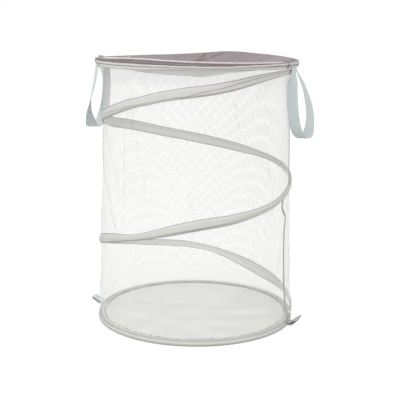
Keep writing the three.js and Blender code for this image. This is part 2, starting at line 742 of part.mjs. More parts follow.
// Behind the fold line the lid's cloth goes over the rim and is sewn down on its outside.
function lidBackPanel() {
  const half = LID_CLOTH / 2;
  const top = LID_EDGE_HEIGHT + half;
  const skirtIn = ZIP_TAPE_RADIUS;
  const skirtOut = skirtIn + LID_CLOTH;
  const inDish = LID_RADIUS * HALF_FACET_SHARE - GAP; // inside the dish's edge, also mid-facet
  const outline = [
    [inDish, top - LID_CLOTH],
    [skirtIn, top - LID_CLOTH],
    [skirtIn, ZIP_SEAM_HEIGHT],
    [skirtOut, ZIP_SEAM_HEIGHT],
    [skirtOut, top],
    [inDish, top],
  ];
  const azimuths = spaced(SKIRT_END_ANGLE, 180 - SKIRT_END_ANGLE, ZIP_STEP_ANGLE);
  const stations = azimuths.map((azimuth) => (radius, height) => {
    const rise = height > RIM_HEIGHT ? backRise(azimuth) : 0;
    return polar(azimuth, radius, height + rise);
  });
  const skirt = sweep(outline, stations);
  return fromManifold(lidDish().intersect(sideOfFold(1)).add(toManifold(skirt)));
}

function lidPiping() {
  const outline = hexagon(PIPING_RADIUS, PIPING_RING_RADIUS, PIPING_HEIGHT);
  return rimBand(outline, ZIP_FIRST_AZIMUTH, ZIP_LAST_AZIMUTH);
}

// Zip

function zipTape(bottom, top) {
  const outline = rectangle(ZIP_INNER_RADIUS, ZIP_TAPE_RADIUS, bottom, top);
  return rimBand(outline, ZIP_FIRST_AZIMUTH, ZIP_LAST_AZIMUTH);
}

function stopAngle() {
  return ZIP_STOP_LENGTH / ZIP_COIL_RADIUS / DEGREE;
}

function zipCoil(bottom) {
  const outline = rectangle(ZIP_COIL_INNER_RADIUS, ZIP_COIL_RADIUS, bottom, bottom + ZIP_COIL_HEIGHT);
  const clear = stopAngle() + GAP / ZIP_COIL_RADIUS / DEGREE;
  return rimBand(outline, ZIP_FIRST_AZIMUTH + clear, ZIP_LAST_AZIMUTH - clear);
}

const LOWER_COIL_BOTTOM = ZIP_LOWER_EDGE - ZIP_COIL_SET_BACK - ZIP_COIL_HEIGHT;
const UPPER_COIL_BOTTOM = ZIP_UPPER_EDGE + ZIP_COIL_SET_BACK;

function zipStop(from) {
  const top = UPPER_COIL_BOTTOM + ZIP_COIL_HEIGHT;
  const outline = rectangle(ZIP_COIL_INNER_RADIUS, ZIP_COIL_RADIUS, LOWER_COIL_BOTTOM, top);
  return rimBand(outline, from, from + stopAngle());
}

// The slider, made at azimuth zero: X out from the rim, Y along it.
const SLIDER_FACE = ZIP_COIL_RADIUS + GAP;
const BRIDGE_BASE = SLIDER_FACE + SLIDER_PLATE;
const PULL_AXIS_RADIUS = BRIDGE_BASE + BRIDGE_TUNNEL / 2;

function sliderPlate() {
  const half = SLIDER_LENGTH / 2;
  const wide = SLIDER_HEIGHT / 2;
  const nose = wide * SLIDER_NOSE_SHARE;
  const outline = [
    [-half, -nose],
    [0, -wide],
    [half, -wide],
    [half, wide],
    [0, wide],
    [-half, nose],
  ];
  const shape = new THREE.Shape(flat(outline));
  const plate = new THREE.ExtrudeGeometry(shape, { depth: SLIDER_PLATE, bevelEnabled: false });
  const turn = new THREE.Matrix4().makeBasis(
    new THREE.Vector3(0, 1, 0),
    new THREE.Vector3(0, 0, 1),
    new THREE.Vector3(1, 0, 0),
  );
  return plate.applyMatrix4(turn).translate(SLIDER_FACE, 0, ZIP_WAY_MIDDLE);
}

function zipSlider() {
  const neckHalf = SLIDER_NECK_LENGTH / 2;
  const neckRise = SLIDER_NECK_HEIGHT / 2;
  const backFace = ZIP_INNER_RADIUS * Math.cos((ZIP_STEP_ANGLE / 2) * DEGREE) - GAP;
  const backInside = backFace - SLIDER_BACK_PLATE;
  const lap = SLIDER_BACK_PLATE / 2; // how far joined blocks run into each other
  const neck = box(
    [backFace - lap, SLIDER_FACE + lap],
    [-neckHalf, neckHalf],
    [ZIP_WAY_MIDDLE - neckRise, ZIP_WAY_MIDDLE + neckRise],
  );
  const backHeights = [RIM_HEIGHT + GAP, RIM_HEIGHT + GAP + SLIDER_BACK_HEIGHT];
  const back = box([backInside, backFace], [-neckHalf, neckHalf], backHeights);
  const bridgeTop = BRIDGE_BASE + BRIDGE_TUNNEL + BRIDGE_TOP;
  const half = BRIDGE_WIDTH / 2;
  const across = [ZIP_WAY_MIDDLE - half, ZIP_WAY_MIDDLE + half];
  const along = [-BRIDGE_HALF_LENGTH, BRIDGE_HALF_LENGTH];
  const bridge = box([BRIDGE_BASE - lap, bridgeTop], along, across);
  const inside = BRIDGE_HALF_LENGTH - BRIDGE_FOOT;
  const tunnel = box(
    [BRIDGE_BASE, BRIDGE_BASE + BRIDGE_TUNNEL],
    [-inside, inside],
    [ZIP_WAY_MIDDLE - BRIDGE_WIDTH, ZIP_WAY_MIDDLE + BRIDGE_WIDTH],
  );
  const arch = toManifold(bridge).subtract(toManifold(tunnel));
  const body = toManifold(sliderPlate()).add(toManifold(neck)).add(toManifold(back)).add(arch);
  return fromManifold(body);
}

// The pull's bar lies in the bridge's tunnel, and its tongue points along the rim, to the back.
function zipPull() {
  const bar = PULL_BAR / 2;
  const thick = PULL_THICKNESS / 2;
  const wide = PULL_WIDTH / 2;
  const tip = wide * PULL_TIP_SHARE;
  const end = PULL_LENGTH - bar;
  const shape = new THREE.Shape();
  shape.moveTo(bar, -wide);
  shape.lineTo(bar, wide);
  shape.lineTo(wide - end, tip);
  shape.absarc(wide - end, 0, tip, 90 * DEGREE, 270 * DEGREE, false);
  shape.lineTo(bar, -wide);
  const eye = new THREE.Path();
  const eyeHalf = BRIDGE_WIDTH / 2 + PULL_EYE_PLAY;
  eye.moveTo(-bar, -eyeHalf);
  eye.lineTo(-bar - PULL_EYE_LENGTH, -eyeHalf);
  eye.lineTo(-bar - PULL_EYE_LENGTH, eyeHalf);
  eye.lineTo(-bar, eyeHalf);
  eye.closePath();
  const hole = new THREE.Path();
  hole.absarc(wide - end, 0, PULL_HOLE_RADIUS, 0, FULL_TURN * DEGREE, true);
  shape.holes.push(eye, hole);
  const plate = new THREE.ExtrudeGeometry(shape, {
    depth: PULL_THICKNESS,
    bevelEnabled: false,
    curveSegments: PULL_CURVE_SEGMENTS,
  });
  const turn = new THREE.Matrix4().makeBasis(
    new THREE.Vector3(0, 1, 0),
    new THREE.Vector3(0, 0, 1),
    new THREE.Vector3(1, 0, 0),
  );
  return plate.applyMatrix4(turn).translate(PULL_AXIS_RADIUS - thick, 0, ZIP_WAY_MIDDLE);
}

// Handles

const HANDLE_INNER_RADIUS = HEM_OUTER_RADIUS + GAP;
const HANDLE_ROOT_RADIUS = HANDLE_INNER_RADIUS + WEBBING_THICKNESS / 2;
const HANDLE_END_BOTTOM = RIM_HEM_MOUTH + HANDLE_LIFT_FROM_MOUTH;
const HANDLE_ROOT_HEIGHT = HANDLE_END_BOTTOM - GAP;

// A webbing end, sewn flat on the rim's hem.
function handleEnd(azimuth) {
  const half = WEBBING_WIDTH / 2 / HANDLE_ROOT_RADIUS / DEGREE;
  const outside = HANDLE_INNER_RADIUS + WEBBING_THICKNESS;
  const outline = rectangle(
    HANDLE_INNER_RADIUS,
    outside,
    HANDLE_END_BOTTOM,
    HANDLE_END_BOTTOM + HANDLE_END_HEIGHT,
  );
  return rimBand(outline, azimuth - half, azimuth + half);
}

// The free loop: a flat ribbon that hangs from one end, turns across the rim and comes back up.
function handleLoop({ azimuth: middleAzimuth, drop, standOff, routeShares }) {
  const controls = routeShares.map(([angle, out, down]) =>
    polar(
      middleAzimuth + HANDLE_HALF_ANGLE * angle,
      HANDLE_ROOT_RADIUS + standOff * out,
      HANDLE_ROOT_HEIGHT - drop * down,
    ),
  );
  const route = new THREE.CatmullRomCurve3(controls, false, "centripetal");
  const turns = new THREE.SplineCurve(routeShares.map((row, i) => new THREE.Vector2(i, row[3])));
  const stations = Array.from({ length: HANDLE_STATIONS + 1 }, (_, i) => {
    const t = i / HANDLE_STATIONS;
    const middle = route.getPoint(t);
    const azimuth = Math.atan2(middle.y, middle.x) / DEGREE;
    const atEnd = i === 0 || i === HANDLE_STATIONS;
    const tangent = atEnd ? new THREE.Vector3(0, 0, i === 0 ? -1 : 1) : route.getTangent(t);
    const turn = turns.getPoint(t).y * 90 * DEGREE;
    const width = polar(azimuth + 90, Math.cos(turn), 0).add(polar(azimuth, Math.sin(turn), 0));
    width.addScaledVector(tangent, -width.dot(tangent)).normalize();
    const across = tangent.clone().cross(width);
    return (u, v) => middle.clone().addScaledVector(width, u).addScaledVector(across, v);
  });
  const half = WEBBING_WIDTH / 2;
  const thick = WEBBING_THICKNESS / 2;
  return sweep(rectangle(-half, half, -thick, thick), stations);
}

// Tabs

// The tab's middle line at a share of its length: [out from the hem, up].
function tabLine(share, rise) {
  const level = Math.min(share, TAB_LEVEL_SHARE) * TAB_LENGTH;
  const rising = Math.max(share - TAB_LEVEL_SHARE, 0) * TAB_LENGTH;
  return [level + rising * Math.cos(rise * DEGREE), rising * Math.sin(rise * DEGREE)];
}

// One side of the tab's outline or of the space between its plies: [out, up] from its root.
function tabSide(side, from, to, thickness, rise) {
  const shares = spaced(from, to, 1 / TAB_STATIONS);
  return shares.map((share) => {
    const parting = Math.sin(THREE.MathUtils.clamp(share, 0, 1) * 180 * DEGREE) ** 0.5;
    const lean = share > TAB_LEVEL_SHARE ? rise : rise / 2;
    const reach = side * (thickness + (TAB_PLY_GAP / 2) * parting);
    const [out, up] = tabLine(share, rise);
    return [out - reach * Math.sin(lean * DEGREE), up + reach * Math.cos(lean * DEGREE)];
  });
}

function footTab({ azimuth, rise }) {
  const sewn = TAB_SEAM_LENGTH / TAB_LENGTH;
  const tip = 1 - WEBBING_THICKNESS / TAB_LENGTH;
  const outside = [-1, 1].map((side) => tabSide(side, 0, 1, WEBBING_THICKNESS, rise));
  const between = [-1, 1].map((side) => tabSide(side, sewn, tip, 0, rise));
  const root = HEM_OUTER_RADIUS + GAP + WEBBING_THICKNESS;
  const along = polar(azimuth + 90, 1, 0);
  const stations = [-WEBBING_WIDTH / 2, WEBBING_WIDTH / 2].map((place) => (out, up) => {
    return polar(azimuth, root + out, TAB_ROOT_HEIGHT + up).addScaledVector(along, place);
  });
  const outline = [...outside[0], ...outside[1].reverse()];
  return sweep(outline, stations, [...between[0], ...between[1].reverse()]);
}

// Assembly

function named(name, geometry, finish) {
  const mesh = new THREE.Mesh(geometry, new THREE.MeshStandardMaterial(FINISHES[finish]));
  mesh.name = name;
  return mesh;
}

function foot() {
  const group = new THREE.Group();
  group.add(
    named("floor_panel", floorPanel(), "floor"),
    named("floor_seam_binding", floorPiping(), "greige"),
    named("bottom_hem", footHem(), "greige"),
    named("bottom_hoop", hoop(HOOP_DEPTH), "wire"),
    named("bottom_hoop_ferrule", ferrule(HOOP_DEPTH), "wire"),
  );
  for (const tab of TABS) group.add(named(tab.name, footTab(tab), "webbing"));
  return group;
}

function wall() {
  const group = new THREE.Group();
  const [top, bottom] = wireEnds();
  group.add(
    named("mesh_wall", meshWall(), "net"),
    named("wall_seam_binding", wallSeamBinding(), "greige"),
    named("spiral_sleeve", spiralSleeve(), "greige"),
    named("spiral_wire", spiralWire(), "wire"),
    named("spiral_cap_top", spiralCap(top), "cap"),
    named("spiral_cap_bottom", spiralCap(bottom), "cap"),
  );
  return group;
}

function rim() {
  const group = new THREE.Group();
  const hoopHeight = RIM_HEIGHT - HOOP_DEPTH;
  group.add(
    named("top_hem", rimHem(), "greige"),
    named("top_hoop", hoop(hoopHeight), "wire"),
    named("top_hoop_ferrule", ferrule(hoopHeight), "wire"),
    named("lid_back_panel", lidBackPanel(), "mauve"),
    named("zip_tape_lower", zipTape(ZIP_SEAM_HEIGHT, ZIP_LOWER_EDGE), "zip"),
    named("zip_coil_lower", zipCoil(LOWER_COIL_BOTTOM), "zip"),
    named("zip_stop_left", zipStop(ZIP_FIRST_AZIMUTH), "zip"),
    named("zip_stop_right", zipStop(ZIP_LAST_AZIMUTH - stopAngle()), "zip"),
  );
  return group;
}

function lid() {
  const group = new THREE.Group();
  group.add(
    named("lid_panel", lidPanel(), "mauve"),
    named("lid_piping", lidPiping(), "piping"),
    named("zip_tape_upper", zipTape(ZIP_UPPER_EDGE, ZIP_TOP), "zip"),
    named("zip_coil_upper", zipCoil(UPPER_COIL_BOTTOM), "zip"),
  );
  return group;
}

function slider() {
  const group = new THREE.Group();
  group.add(named("zip_slider", zipSlider(), "slider"), named("zip_pull", zipPull(), "slider"));
  group.rotation.z = (ZIP_FIRST_AZIMUTH + SLIDER_PARK_ANGLE) * DEGREE;
  return group;
}

function handles() {
  const group = new THREE.Group();
  for (const handle of HANDLES) {
    const { side, azimuth, ends } = handle;
    group.add(
      named("handle_" + side, handleLoop(handle), "webbing"),
      named("handle_end_" + side + "_" + ends[0], handleEnd(azimuth - HANDLE_HALF_ANGLE), "webbing"),
      named("handle_end_" + side + "_" + ends[1], handleEnd(azimuth + HANDLE_HALF_ANGLE), "webbing"),
    );
  }
  return group;
}

const hamper = new THREE.Group();
hamper.add(foot(), wall(), rim(), lid(), slider(), handles());

console.log("least gap of the spiral's sleeve to itself:", leastGapToItself().toFixed(1), "mm");

export default hamper;
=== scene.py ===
"""Looks of a round pop up laundry hamper: net wall, wire spiral in its sleeve, zipped lid, webbing handles.

Metres, in the frame of the CAD model: +Z up, -Y the front, the origin in the middle of the underside.
An azimuth is an angle about +Z from +X in degrees, and a turn counts down the spiral the other way.
"""

import logging
import math
from dataclasses import asdict, dataclass, field
from enum import Enum

import bpy
import numpy as np
from bpy.types import ID, Material, Node, NodeSocket, NodeTree, Object
from mathutils import Matrix, Vector


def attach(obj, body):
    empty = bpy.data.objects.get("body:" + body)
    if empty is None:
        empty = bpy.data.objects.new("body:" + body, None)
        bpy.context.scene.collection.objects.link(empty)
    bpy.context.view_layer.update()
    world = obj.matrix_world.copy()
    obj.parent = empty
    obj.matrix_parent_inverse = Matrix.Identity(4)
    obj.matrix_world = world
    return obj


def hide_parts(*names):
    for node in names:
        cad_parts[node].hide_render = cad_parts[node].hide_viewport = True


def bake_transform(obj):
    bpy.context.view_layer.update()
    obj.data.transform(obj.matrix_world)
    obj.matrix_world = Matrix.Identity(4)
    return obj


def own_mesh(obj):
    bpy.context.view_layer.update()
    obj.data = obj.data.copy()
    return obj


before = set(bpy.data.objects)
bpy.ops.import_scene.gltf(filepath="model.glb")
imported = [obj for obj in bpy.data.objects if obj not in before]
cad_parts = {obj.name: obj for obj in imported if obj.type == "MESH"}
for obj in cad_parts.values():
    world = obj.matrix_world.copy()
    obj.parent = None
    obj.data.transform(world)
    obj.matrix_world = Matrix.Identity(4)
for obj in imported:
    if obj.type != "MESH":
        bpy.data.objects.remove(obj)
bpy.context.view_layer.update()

LOG = logging.getLogger("hamper")

Array = np.ndarray
Numbers = float | Array
Input = float | tuple | NodeSocket  # what a node's input takes

MM = 0.001
DEGREE = math.pi / 180
FULL_TURN = 360.0

# Sizes of the frame that several sub-assemblies share
HOOP_RADIUS = 189 * MM
GAP = 0.35 * MM  # between pieces that lie on one another
RIM_MOUTH = 494.5 * MM  # lower edge of the rim's hem
FOOT_MOUTH = 12 * MM  # upper edge of the foot's hem
HEM_HALF_WIDTH = 3.2 * MM
WAIST_TUCK = 11 * MM  # how far the net is drawn in between its hems
WAIST = np.array([  # share of the height between the hems, share of the tuck
    [0, 0], [0.09, 0.05], [0.27, 0.28], [0.46, 0.52], [0.63, 0.74],
    [0.79, 0.92], [0.9, 1], [0.955, 0.92], [0.98, 0.6], [1, 0],
])
LID_EDGE_HEIGHT = 510.85 * MM
ZIP_FIRST = 161.01  # azimuths of the zip's two ends
ZIP_LAST = 378.99

# Heights of the lid's zipped edge over its level place: azimuth and millimetres
RIM_WAVE = np.array([
    [-200, -4.6], [-190, -4.2], [-178, -3.6], [-166, -2.4], [-155, -0.4], [-145, 1.4], [-130, 3.1],
    [-118, 2.8], [-105, 1], [-94, -0.4], [-75, -1.9], [-62, -2.6], [-51, -2.9], [-37, -3.5],
    [-20, -4.2], [-5, -4.6], [8, -4.4], [15, -3.6], [20, -2.9], [30, -1], [40, 0], [120, 0],
    [130, -1], [140, -2.5], [150, -4.4], [160, -4.6],
])
RIM_START = -200  # where the rim's tables of azimuths begin


class Body(Enum):
    """Bodies of the CAD frame that the pieces ride on."""

    BASE = "base"
    RIM = "rim"
    LID = "lid"
    RIGHT_LOOP = "right_loop"
    LEFT_LOOP = "left_loop"
    RIGHT_TAB = "right_tab"
    LEFT_TAB = "left_tab"


class Slot(Enum):
    """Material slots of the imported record."""

    NET = "net"
    GREIGE = "greige"
    FLOOR = "floor"
    MAUVE = "mauve"
    PIPING = "piping"
    ZIP = "zip"
    WEBBING = "webbing"
    WIRE = "wire"
    CAP = "cap"
    SLIDER = "slider"


# Shapes


def polar(azimuth: Numbers, radius: Numbers, height: Numbers) -> Array:
    """Gives the points at azimuths in degrees, distances from the axis and heights, a row for each."""
    angle = np.asarray(azimuth, float) * DEGREE
    return np.stack(np.broadcast_arrays(radius * np.cos(angle), radius * np.sin(angle), height), -1)


def smooth(value: Numbers, low: float, high: float) -> Array:
    """Runs smoothly from 0 at low to 1 at high."""
    share = np.clip((np.asarray(value, float) - low) / (high - low), 0, 1)
    return share * share * (3 - 2 * share)


def hump(value: Numbers, middle: Numbers, width: float) -> Array:
    """Rises softly to 1 at the middle and falls to about a third a width away from it."""
    return np.exp(-(((value - middle) / width) ** 2))


def turned_from(azimuth: Numbers, start: float) -> Array:
    """Gives azimuths within the full turn from a start."""
    return (np.asarray(azimuth, float) - start) % FULL_TURN + start


def unit(vectors: Array) -> Array:
    """Gives the vectors with a length of 1."""
    return vectors / np.linalg.norm(vectors, axis=1, keepdims=True)


def read_table(place: Numbers, table: tuple | Array, column: int = 1) -> Array:
    """Reads a column of a table by its first column, straight between its rows."""
    rows = np.asarray(table, float)
    return np.interp(place, rows[:, 0], rows[:, column])


def ripple(azimuth: Numbers, seed: int, low: int, high: int, waves: int = 7) -> Array:
    """Gives an uneven wave round the hamper, between about -1 and 1.

    Args:
        azimuth: The azimuths in degrees.
        seed: Chooses the wave.
        low: The fewest crests of one of its parts.
        high: The most crests of one of its parts.
        waves: How many parts it has.

    Returns:
        The wave at each azimuth.
    """
    draw = np.random.default_rng(seed)
    counts = draw.integers(low, high + 1, waves)
    phases = draw.uniform(0, 2 * math.pi, waves)
    angle = np.asarray(azimuth, float)[..., None] * DEGREE
    return np.cos(angle * counts + phases).sum(-1) / math.sqrt(waves) / 1.4


def wall_radius(height: Numbers) -> Array:
    """Gives the net wall's distance from the axis at a height."""
    share = np.clip((np.asarray(height, float) - FOOT_MOUTH) / (RIM_MOUTH - FOOT_MOUTH), 0, 1)
    return HOOP_RADIUS - WAIST_TUCK * np.interp(share, WAIST[:, 0], WAIST[:, 1])


def rim_wave(azimuth: Numbers) -> Array:
    """Gives how far the lid's zipped edge stands over its level place."""
    turned = turned_from(azimuth, RIM_START)
    return np.interp(turned, RIM_WAVE[:, 0], RIM_WAVE[:, 1], period=FULL_TURN) * MM


def end_shade(azimuth: Numbers) -> Array:
    """Gives 1 near the zip's ends, where the lid's edge lies tucked in and in shade, and 0 between; it sets
    how much shade is painted there.
    """
    turned = turned_from(azimuth, RIM_START)
    return 1 - smooth(turned, -156, -148) * (1 - smooth(turned, -42, -34))


def catmull(points: Array, places: Array, centripetal: bool) -> Array:
    """Gives points of a Catmull-Rom curve.

    Args:
        points: The control points, one row each.
        places: Places on the curve from 0 to 1.
        centripetal: Whether the knots follow the distances between the points.

    Returns:
        One row for each place.
    """
    points = np.asarray(points, float)
    if centripetal:
        padded = np.vstack([2 * points[0] - points[1], points, 2 * points[-1] - points[-2]])
    else:
        padded = np.vstack([points[0], points, points[-1]])
    scaled = np.clip(places, 0, 1) * (len(points) - 1)
    segment = np.minimum(scaled.astype(int), len(points) - 2)
    weight = (scaled - segment)[:, None]
    before, start, end, after = (padded[segment + i] for i in range(4))
    if centripetal:
        steps = [np.maximum(np.linalg.norm(b - a, axis=1, keepdims=True) ** 0.5, 1e-6)
                 for a, b in ((before, start), (start, end), (end, after))]
        first, middle, last = steps
        leave = (start - before) / first - (end - before) / (first + middle) + (end - start) / middle
        arrive = (end - start) / middle - (after - start) / (middle + last) + (after - end) / last
        leave, arrive = leave * middle, arrive * middle
    else:
        leave, arrive = (end - before) / 2, (after - start) / 2
    square, cube = weight**2, weight**3
    return (
        start * (2 * cube - 3 * square + 1) + leave * (cube - 2 * square + weight)
        + end * (3 * square - 2 * cube) + arrive * (cube - square)
    )


def run_of(points: Array) -> Array:
    """Gives the length along a line of points, from its first point to each."""
    steps = np.linalg.norm(np.diff(points, axis=0), axis=1)
    return np.concatenate([[0], np.cumsum(steps)])


def grid(rows: Array, columns: Array) -> Array:
    """Gives pairs of a row's and a column's value, by row and column."""
    return np.stack(np.meshgrid(rows, columns, indexing="ij"), -1)


def show(name: str, data: ID) -> Object:
    """Puts a mesh, a lamp or a camera in the scene.

    Args:
        name: The object's name.
        data: What it shows.

    Returns:
        The object.
    """
    thing = bpy.data.objects.new(name, data)
    bpy.context.scene.collection.objects.link(thing)
    return thing


@dataclass
class Sheet:
    """A grid of points that becomes a mesh, with cloth coordinates in metres for its weave."""

    points: Array
    cloth: Array  # with one row or column more where the grid closes
    rows_close: bool = False
    columns_close: bool = False
    capped: bool = False  # whether the first and last row are each closed by a face
    marks: dict = field(default_factory=dict)  # named values of each point, for the materials

    @staticmethod
    def _volume(points: Array, faces: list) -> float:
        """Measures the space inside closed faces, with a minus sign where they point in.

        Args:
            points: The corners.
            faces: Blocks of faces, each row the numbers of a face's points.

        Returns:
            Six times the volume.
        """
        total = 0.0
        for block in faces:
            first = points[block[:, 0]]
            for k in range(1, block.shape[1] - 1):
                normals = np.cross(points[block[:, k]], points[block[:, k + 1]])
                total += float(np.einsum("ij,ij", first, normals))
        return total

    def _faces(self) -> tuple[list, list]:
        """Gives blocks of faces as point numbers, and their corners' cloth coordinates."""
        rows, columns = self.points.shape[:2]
        i, j = np.meshgrid(
            np.arange(rows if self.rows_close else rows - 1),
            np.arange(columns if self.columns_close else columns - 1),
            indexing="ij",
        )
        corners = [(i, j), (i + 1, j), (i + 1, j + 1), (i, j + 1)]
        faces = np.stack([(a % rows) * columns + b % columns for a, b in corners], -1).reshape(-1, 4)
        cloth = np.stack([self.cloth[a, b] for a, b in corners], -2).reshape(-1, 4, 2)
        faces, cloth = [faces], [cloth]
        if self.capped:
            first = np.arange(columns)
            faces.append(np.stack([first, ((rows - 1) * columns + first)[::-1]]))
            cloth.append(np.stack([self.cloth[0, :columns], self.cloth[-1, :columns][::-1]]))
        return faces, cloth

    def build(self, name: str, crease: float = 50.0) -> Object:
        """Makes the mesh object, with the faces of a closed form pointing out.

        Args:
            name: The piece's name.
            crease: Degrees over which an edge is shaded sharp.

        Returns:
            The new object.
        """
        faces, cloth = self._faces()
        points = self.points.reshape(-1, 3)
        closed = self.columns_close and (self.rows_close or self.capped)
        if closed and self._volume(points, faces) < 0:
            faces = [block[:, ::-1] for block in faces]
            cloth = [block[:, ::-1] for block in cloth]
        mesh = bpy.data.meshes.new(name)
        mesh.from_pydata(points, [], [row for block in faces for row in block.tolist()])
        uv = mesh.uv_layers.new(name="Cloth")
        places = np.concatenate([block.reshape(-1, 2) for block in cloth])
        uv.data.foreach_set("uv", places.astype(np.float32).ravel())
        for mark, values in self.marks.items():
            attribute = mesh.attributes.new(mark, "FLOAT", "POINT")
            attribute.data.foreach_set("value", np.asarray(values, np.float32).ravel())
        mesh.polygons.foreach_set("use_smooth", [True] * len(mesh.polygons))
        mesh.set_sharp_from_angle(angle=crease * DEGREE)
        mesh.update()
        return show(name, mesh)


def sweep(sections: Array, closed: bool, start: float = 0.0) -> Sheet:
    """Makes a solid from sections along a path, each a closed outline.

    Args:
        sections: Points by station and outline point.
        closed: Whether the path goes all the way round.
        start: The cloth coordinate at the first station.

    Returns:
        The sheet whose columns go round the outline and whose rows follow the path.
    """
    loop = np.concatenate([sections, sections[:1]]) if closed else sections
    along = start + run_of(loop.mean(1))
    outline = np.concatenate([sections[0], sections[0][:1]])
    across = run_of(outline)
    return Sheet(sections, grid(along, across), rows_close=closed, columns_close=True, capped=not closed)


def ring(azimuths: Array, outline: Array, closed: bool = True) -> Sheet:
    """Sweeps outlines of (distance from the axis, height) about the axis.

    Args:
        azimuths: The stations in degrees.
        outline: One outline, or one for each station.
        closed: Whether the ring goes all the way round.

    Returns:
        The swept sheet.
    """
    outline = np.broadcast_to(outline, (len(azimuths),) + outline.shape[-2:])
    points = polar(azimuths[:, None], outline[..., 0], outline[..., 1])
    sheet = sweep(points, closed)
    along = np.append(azimuths, azimuths[0] + FULL_TURN) if closed else azimuths
    sheet.cloth[..., 0] = (along * DEGREE * HOOP_RADIUS)[:, None]
    return sheet


def disc(rows: Array, marks: dict) -> Sheet:
    """Makes a round cloth.

    Args:
        rows: Rings of points, from the middle of its upper face to that of its under face.
        marks: Named values of each point.

    Returns:
        The closed sheet.
    """
    cloth = rows[..., :2].copy()
    cloth = np.concatenate([cloth, cloth[:, :1]], 1)
    return Sheet(rows, cloth, columns_close=True, capped=True, marks=marks)


def all_round(count: int) -> Array:
    """Gives evenly spaced azimuths all the way round."""
    return np.arange(count) * FULL_TURN / count


def rounded(points: list | tuple | Array, count: int) -> Array:
    """Gives a smooth closed outline through corner points.

    Args:
        points: The corners in order.
        count: How many points the outline gets.

    Returns:
        The outline's points.
    """
    corners = np.array(points, float)
    wide = np.vstack([corners[-2:], corners, corners[:3]])
    places = (2 + np.arange(count) * len(corners) / count) / (len(wide) - 1)
    return catmull(wide, places, True)


# Node trees


class Graph:
    """Adds nodes to a node tree, sets their inputs and links them."""

    def __init__(self, tree: NodeTree) -> None:
        """Keeps the tree."""
        self.tree = tree

    def add(self, kind: str, inputs: dict | None = None, **settings: object) -> Node:
        """Adds a node.

        Args:
            kind: The node's type name.
            inputs: Values or sockets by the input's name or number.
            **settings: Properties of the node.

        Returns:
            The node.
        """
        node = self.tree.nodes.new(kind)
        for name, value in settings.items():
            setattr(node, name, value)
        self.feed(node, inputs or {})
        return node

    def feed(self, node: Node, inputs: dict) -> None:
        """Sets a node's inputs, by name or number, to values or sockets."""
        for name, value in inputs.items():
            if isinstance(value, NodeSocket):
                self.tree.links.new(value, node.inputs[name])
            else:
                node.inputs[name].default_value = value

    def math(self, operation: str, *values: Input, clamp: bool = False) -> NodeSocket:
        """Adds a Math node on values or sockets and returns its result."""
        inputs = dict(enumerate(values))
        return self.add("ShaderNodeMath", inputs, operation=operation, use_clamp=clamp).outputs[0]

    def mix(self, share: Input, first: Input, second: Input) -> NodeSocket:
        """Mixes two colours by a share and returns the result."""
        return self.add("ShaderNodeMix", {0: share, 6: first, 7: second}, data_type="RGBA").outputs[2]

    def scaled(self, colour: Input, share: Input) -> NodeSocket:
        """Multiplies a colour by a share and returns the result."""
        inputs = {0: colour if isinstance(colour, NodeSocket) else colour[:3], "Scale": share}
        return self.add("ShaderNodeVectorMath", inputs, operation="SCALE").outputs[0]

    def band(self, value: Input, low: float, high: float, first: float = 0, second: float = 1) -> NodeSocket:
        """Maps a value from low..high to first..second, smoothly and held at the ends."""
        inputs = {0: value, 1: low, 2: high, 3: first, 4: second}
        return self.add("ShaderNodeMapRange", inputs, interpolation_type="SMOOTHSTEP").outputs[0]

    def mark(self, name: str) -> NodeSocket:
        """Reads one of the piece's marks."""
        return self.add("ShaderNodeAttribute", attribute_name=name).outputs["Fac"]


def new_group(title: str, inputs: list, outputs: list, tree_type: str = "ShaderNodeTree") -> tuple:
    """Makes a node group with its sockets.

    Args:
        title: The group's name.
        inputs: (name, socket type, default) of each input.
        outputs: (name, socket type) of each output.
        tree_type: What kind of tree it is.

    Returns:
        Its graph, the sockets that bring its inputs and those that take its outputs.
    """
    tree = bpy.data.node_groups.new(title, tree_type)
    for name, kind, default in inputs:
        made = tree.interface.new_socket(name=name, in_out="INPUT", socket_type=kind)
        if default is not None:
            made.default_value = default
    for name, kind in outputs:
        tree.interface.new_socket(name=name, in_out="OUTPUT", socket_type=kind)
    start, end = tree.nodes.new("NodeGroupInput"), tree.nodes.new("NodeGroupOutput")
    return Graph(tree), start.outputs, end.inputs


FLOAT = "NodeSocketFloat"
VECTOR = "NodeSocketVector"


def weave_group() -> NodeTree:
    """Makes the plain weave: threads that pass over and under one another, with painted shade down between
    them.
    """
    inputs = [
        ("Cloth", VECTOR, None), ("Warp Pitch", FLOAT, 0.5), ("Weft Pitch", FLOAT, 0.5),
        ("Uneven", FLOAT, 0.3),
    ]
    g, start, end = new_group("plain_weave", inputs, [("Height", FLOAT), ("Shade", FLOAT)])
    noise = g.add("ShaderNodeTexNoise", {"Vector": start["Cloth"], "Scale": 260.0, "Detail": 2.0})
    waver = g.math("MULTIPLY", g.math("SUBTRACT", noise.outputs[0], 0.5), start["Uneven"])
    split = g.add("ShaderNodeSeparateXYZ", {0: start["Cloth"]})
    counts = []
    for axis, pitch in (("X", "Warp Pitch"), ("Y", "Weft Pitch")):
        length = g.math("MULTIPLY", split.outputs[axis], 1000.0)
        counts.append(g.math("ADD", g.math("DIVIDE", length, start[pitch]), waver))
    floors = [g.math("FLOOR", count) for count in counts]
    over = g.math("PINGPONG", g.math("ADD", *floors), 1.0)
    threads = [g.math("ABSOLUTE", g.math("SINE", g.math("MULTIPLY", count, math.pi))) for count in counts]
    warp = g.math("MULTIPLY", threads[0], over)
    weft = g.math("MULTIPLY", threads[1], g.math("SUBTRACT", 1.0, over))
    height = g.math("ADD", warp, weft)
    g.tree.links.new(height, end["Height"])
    # The Shade output is a painted shade, darker where the threads dip.
    g.tree.links.new(g.band(height, 0.0, 0.8, 0.8, 1.0), end["Shade"])
    return g.tree


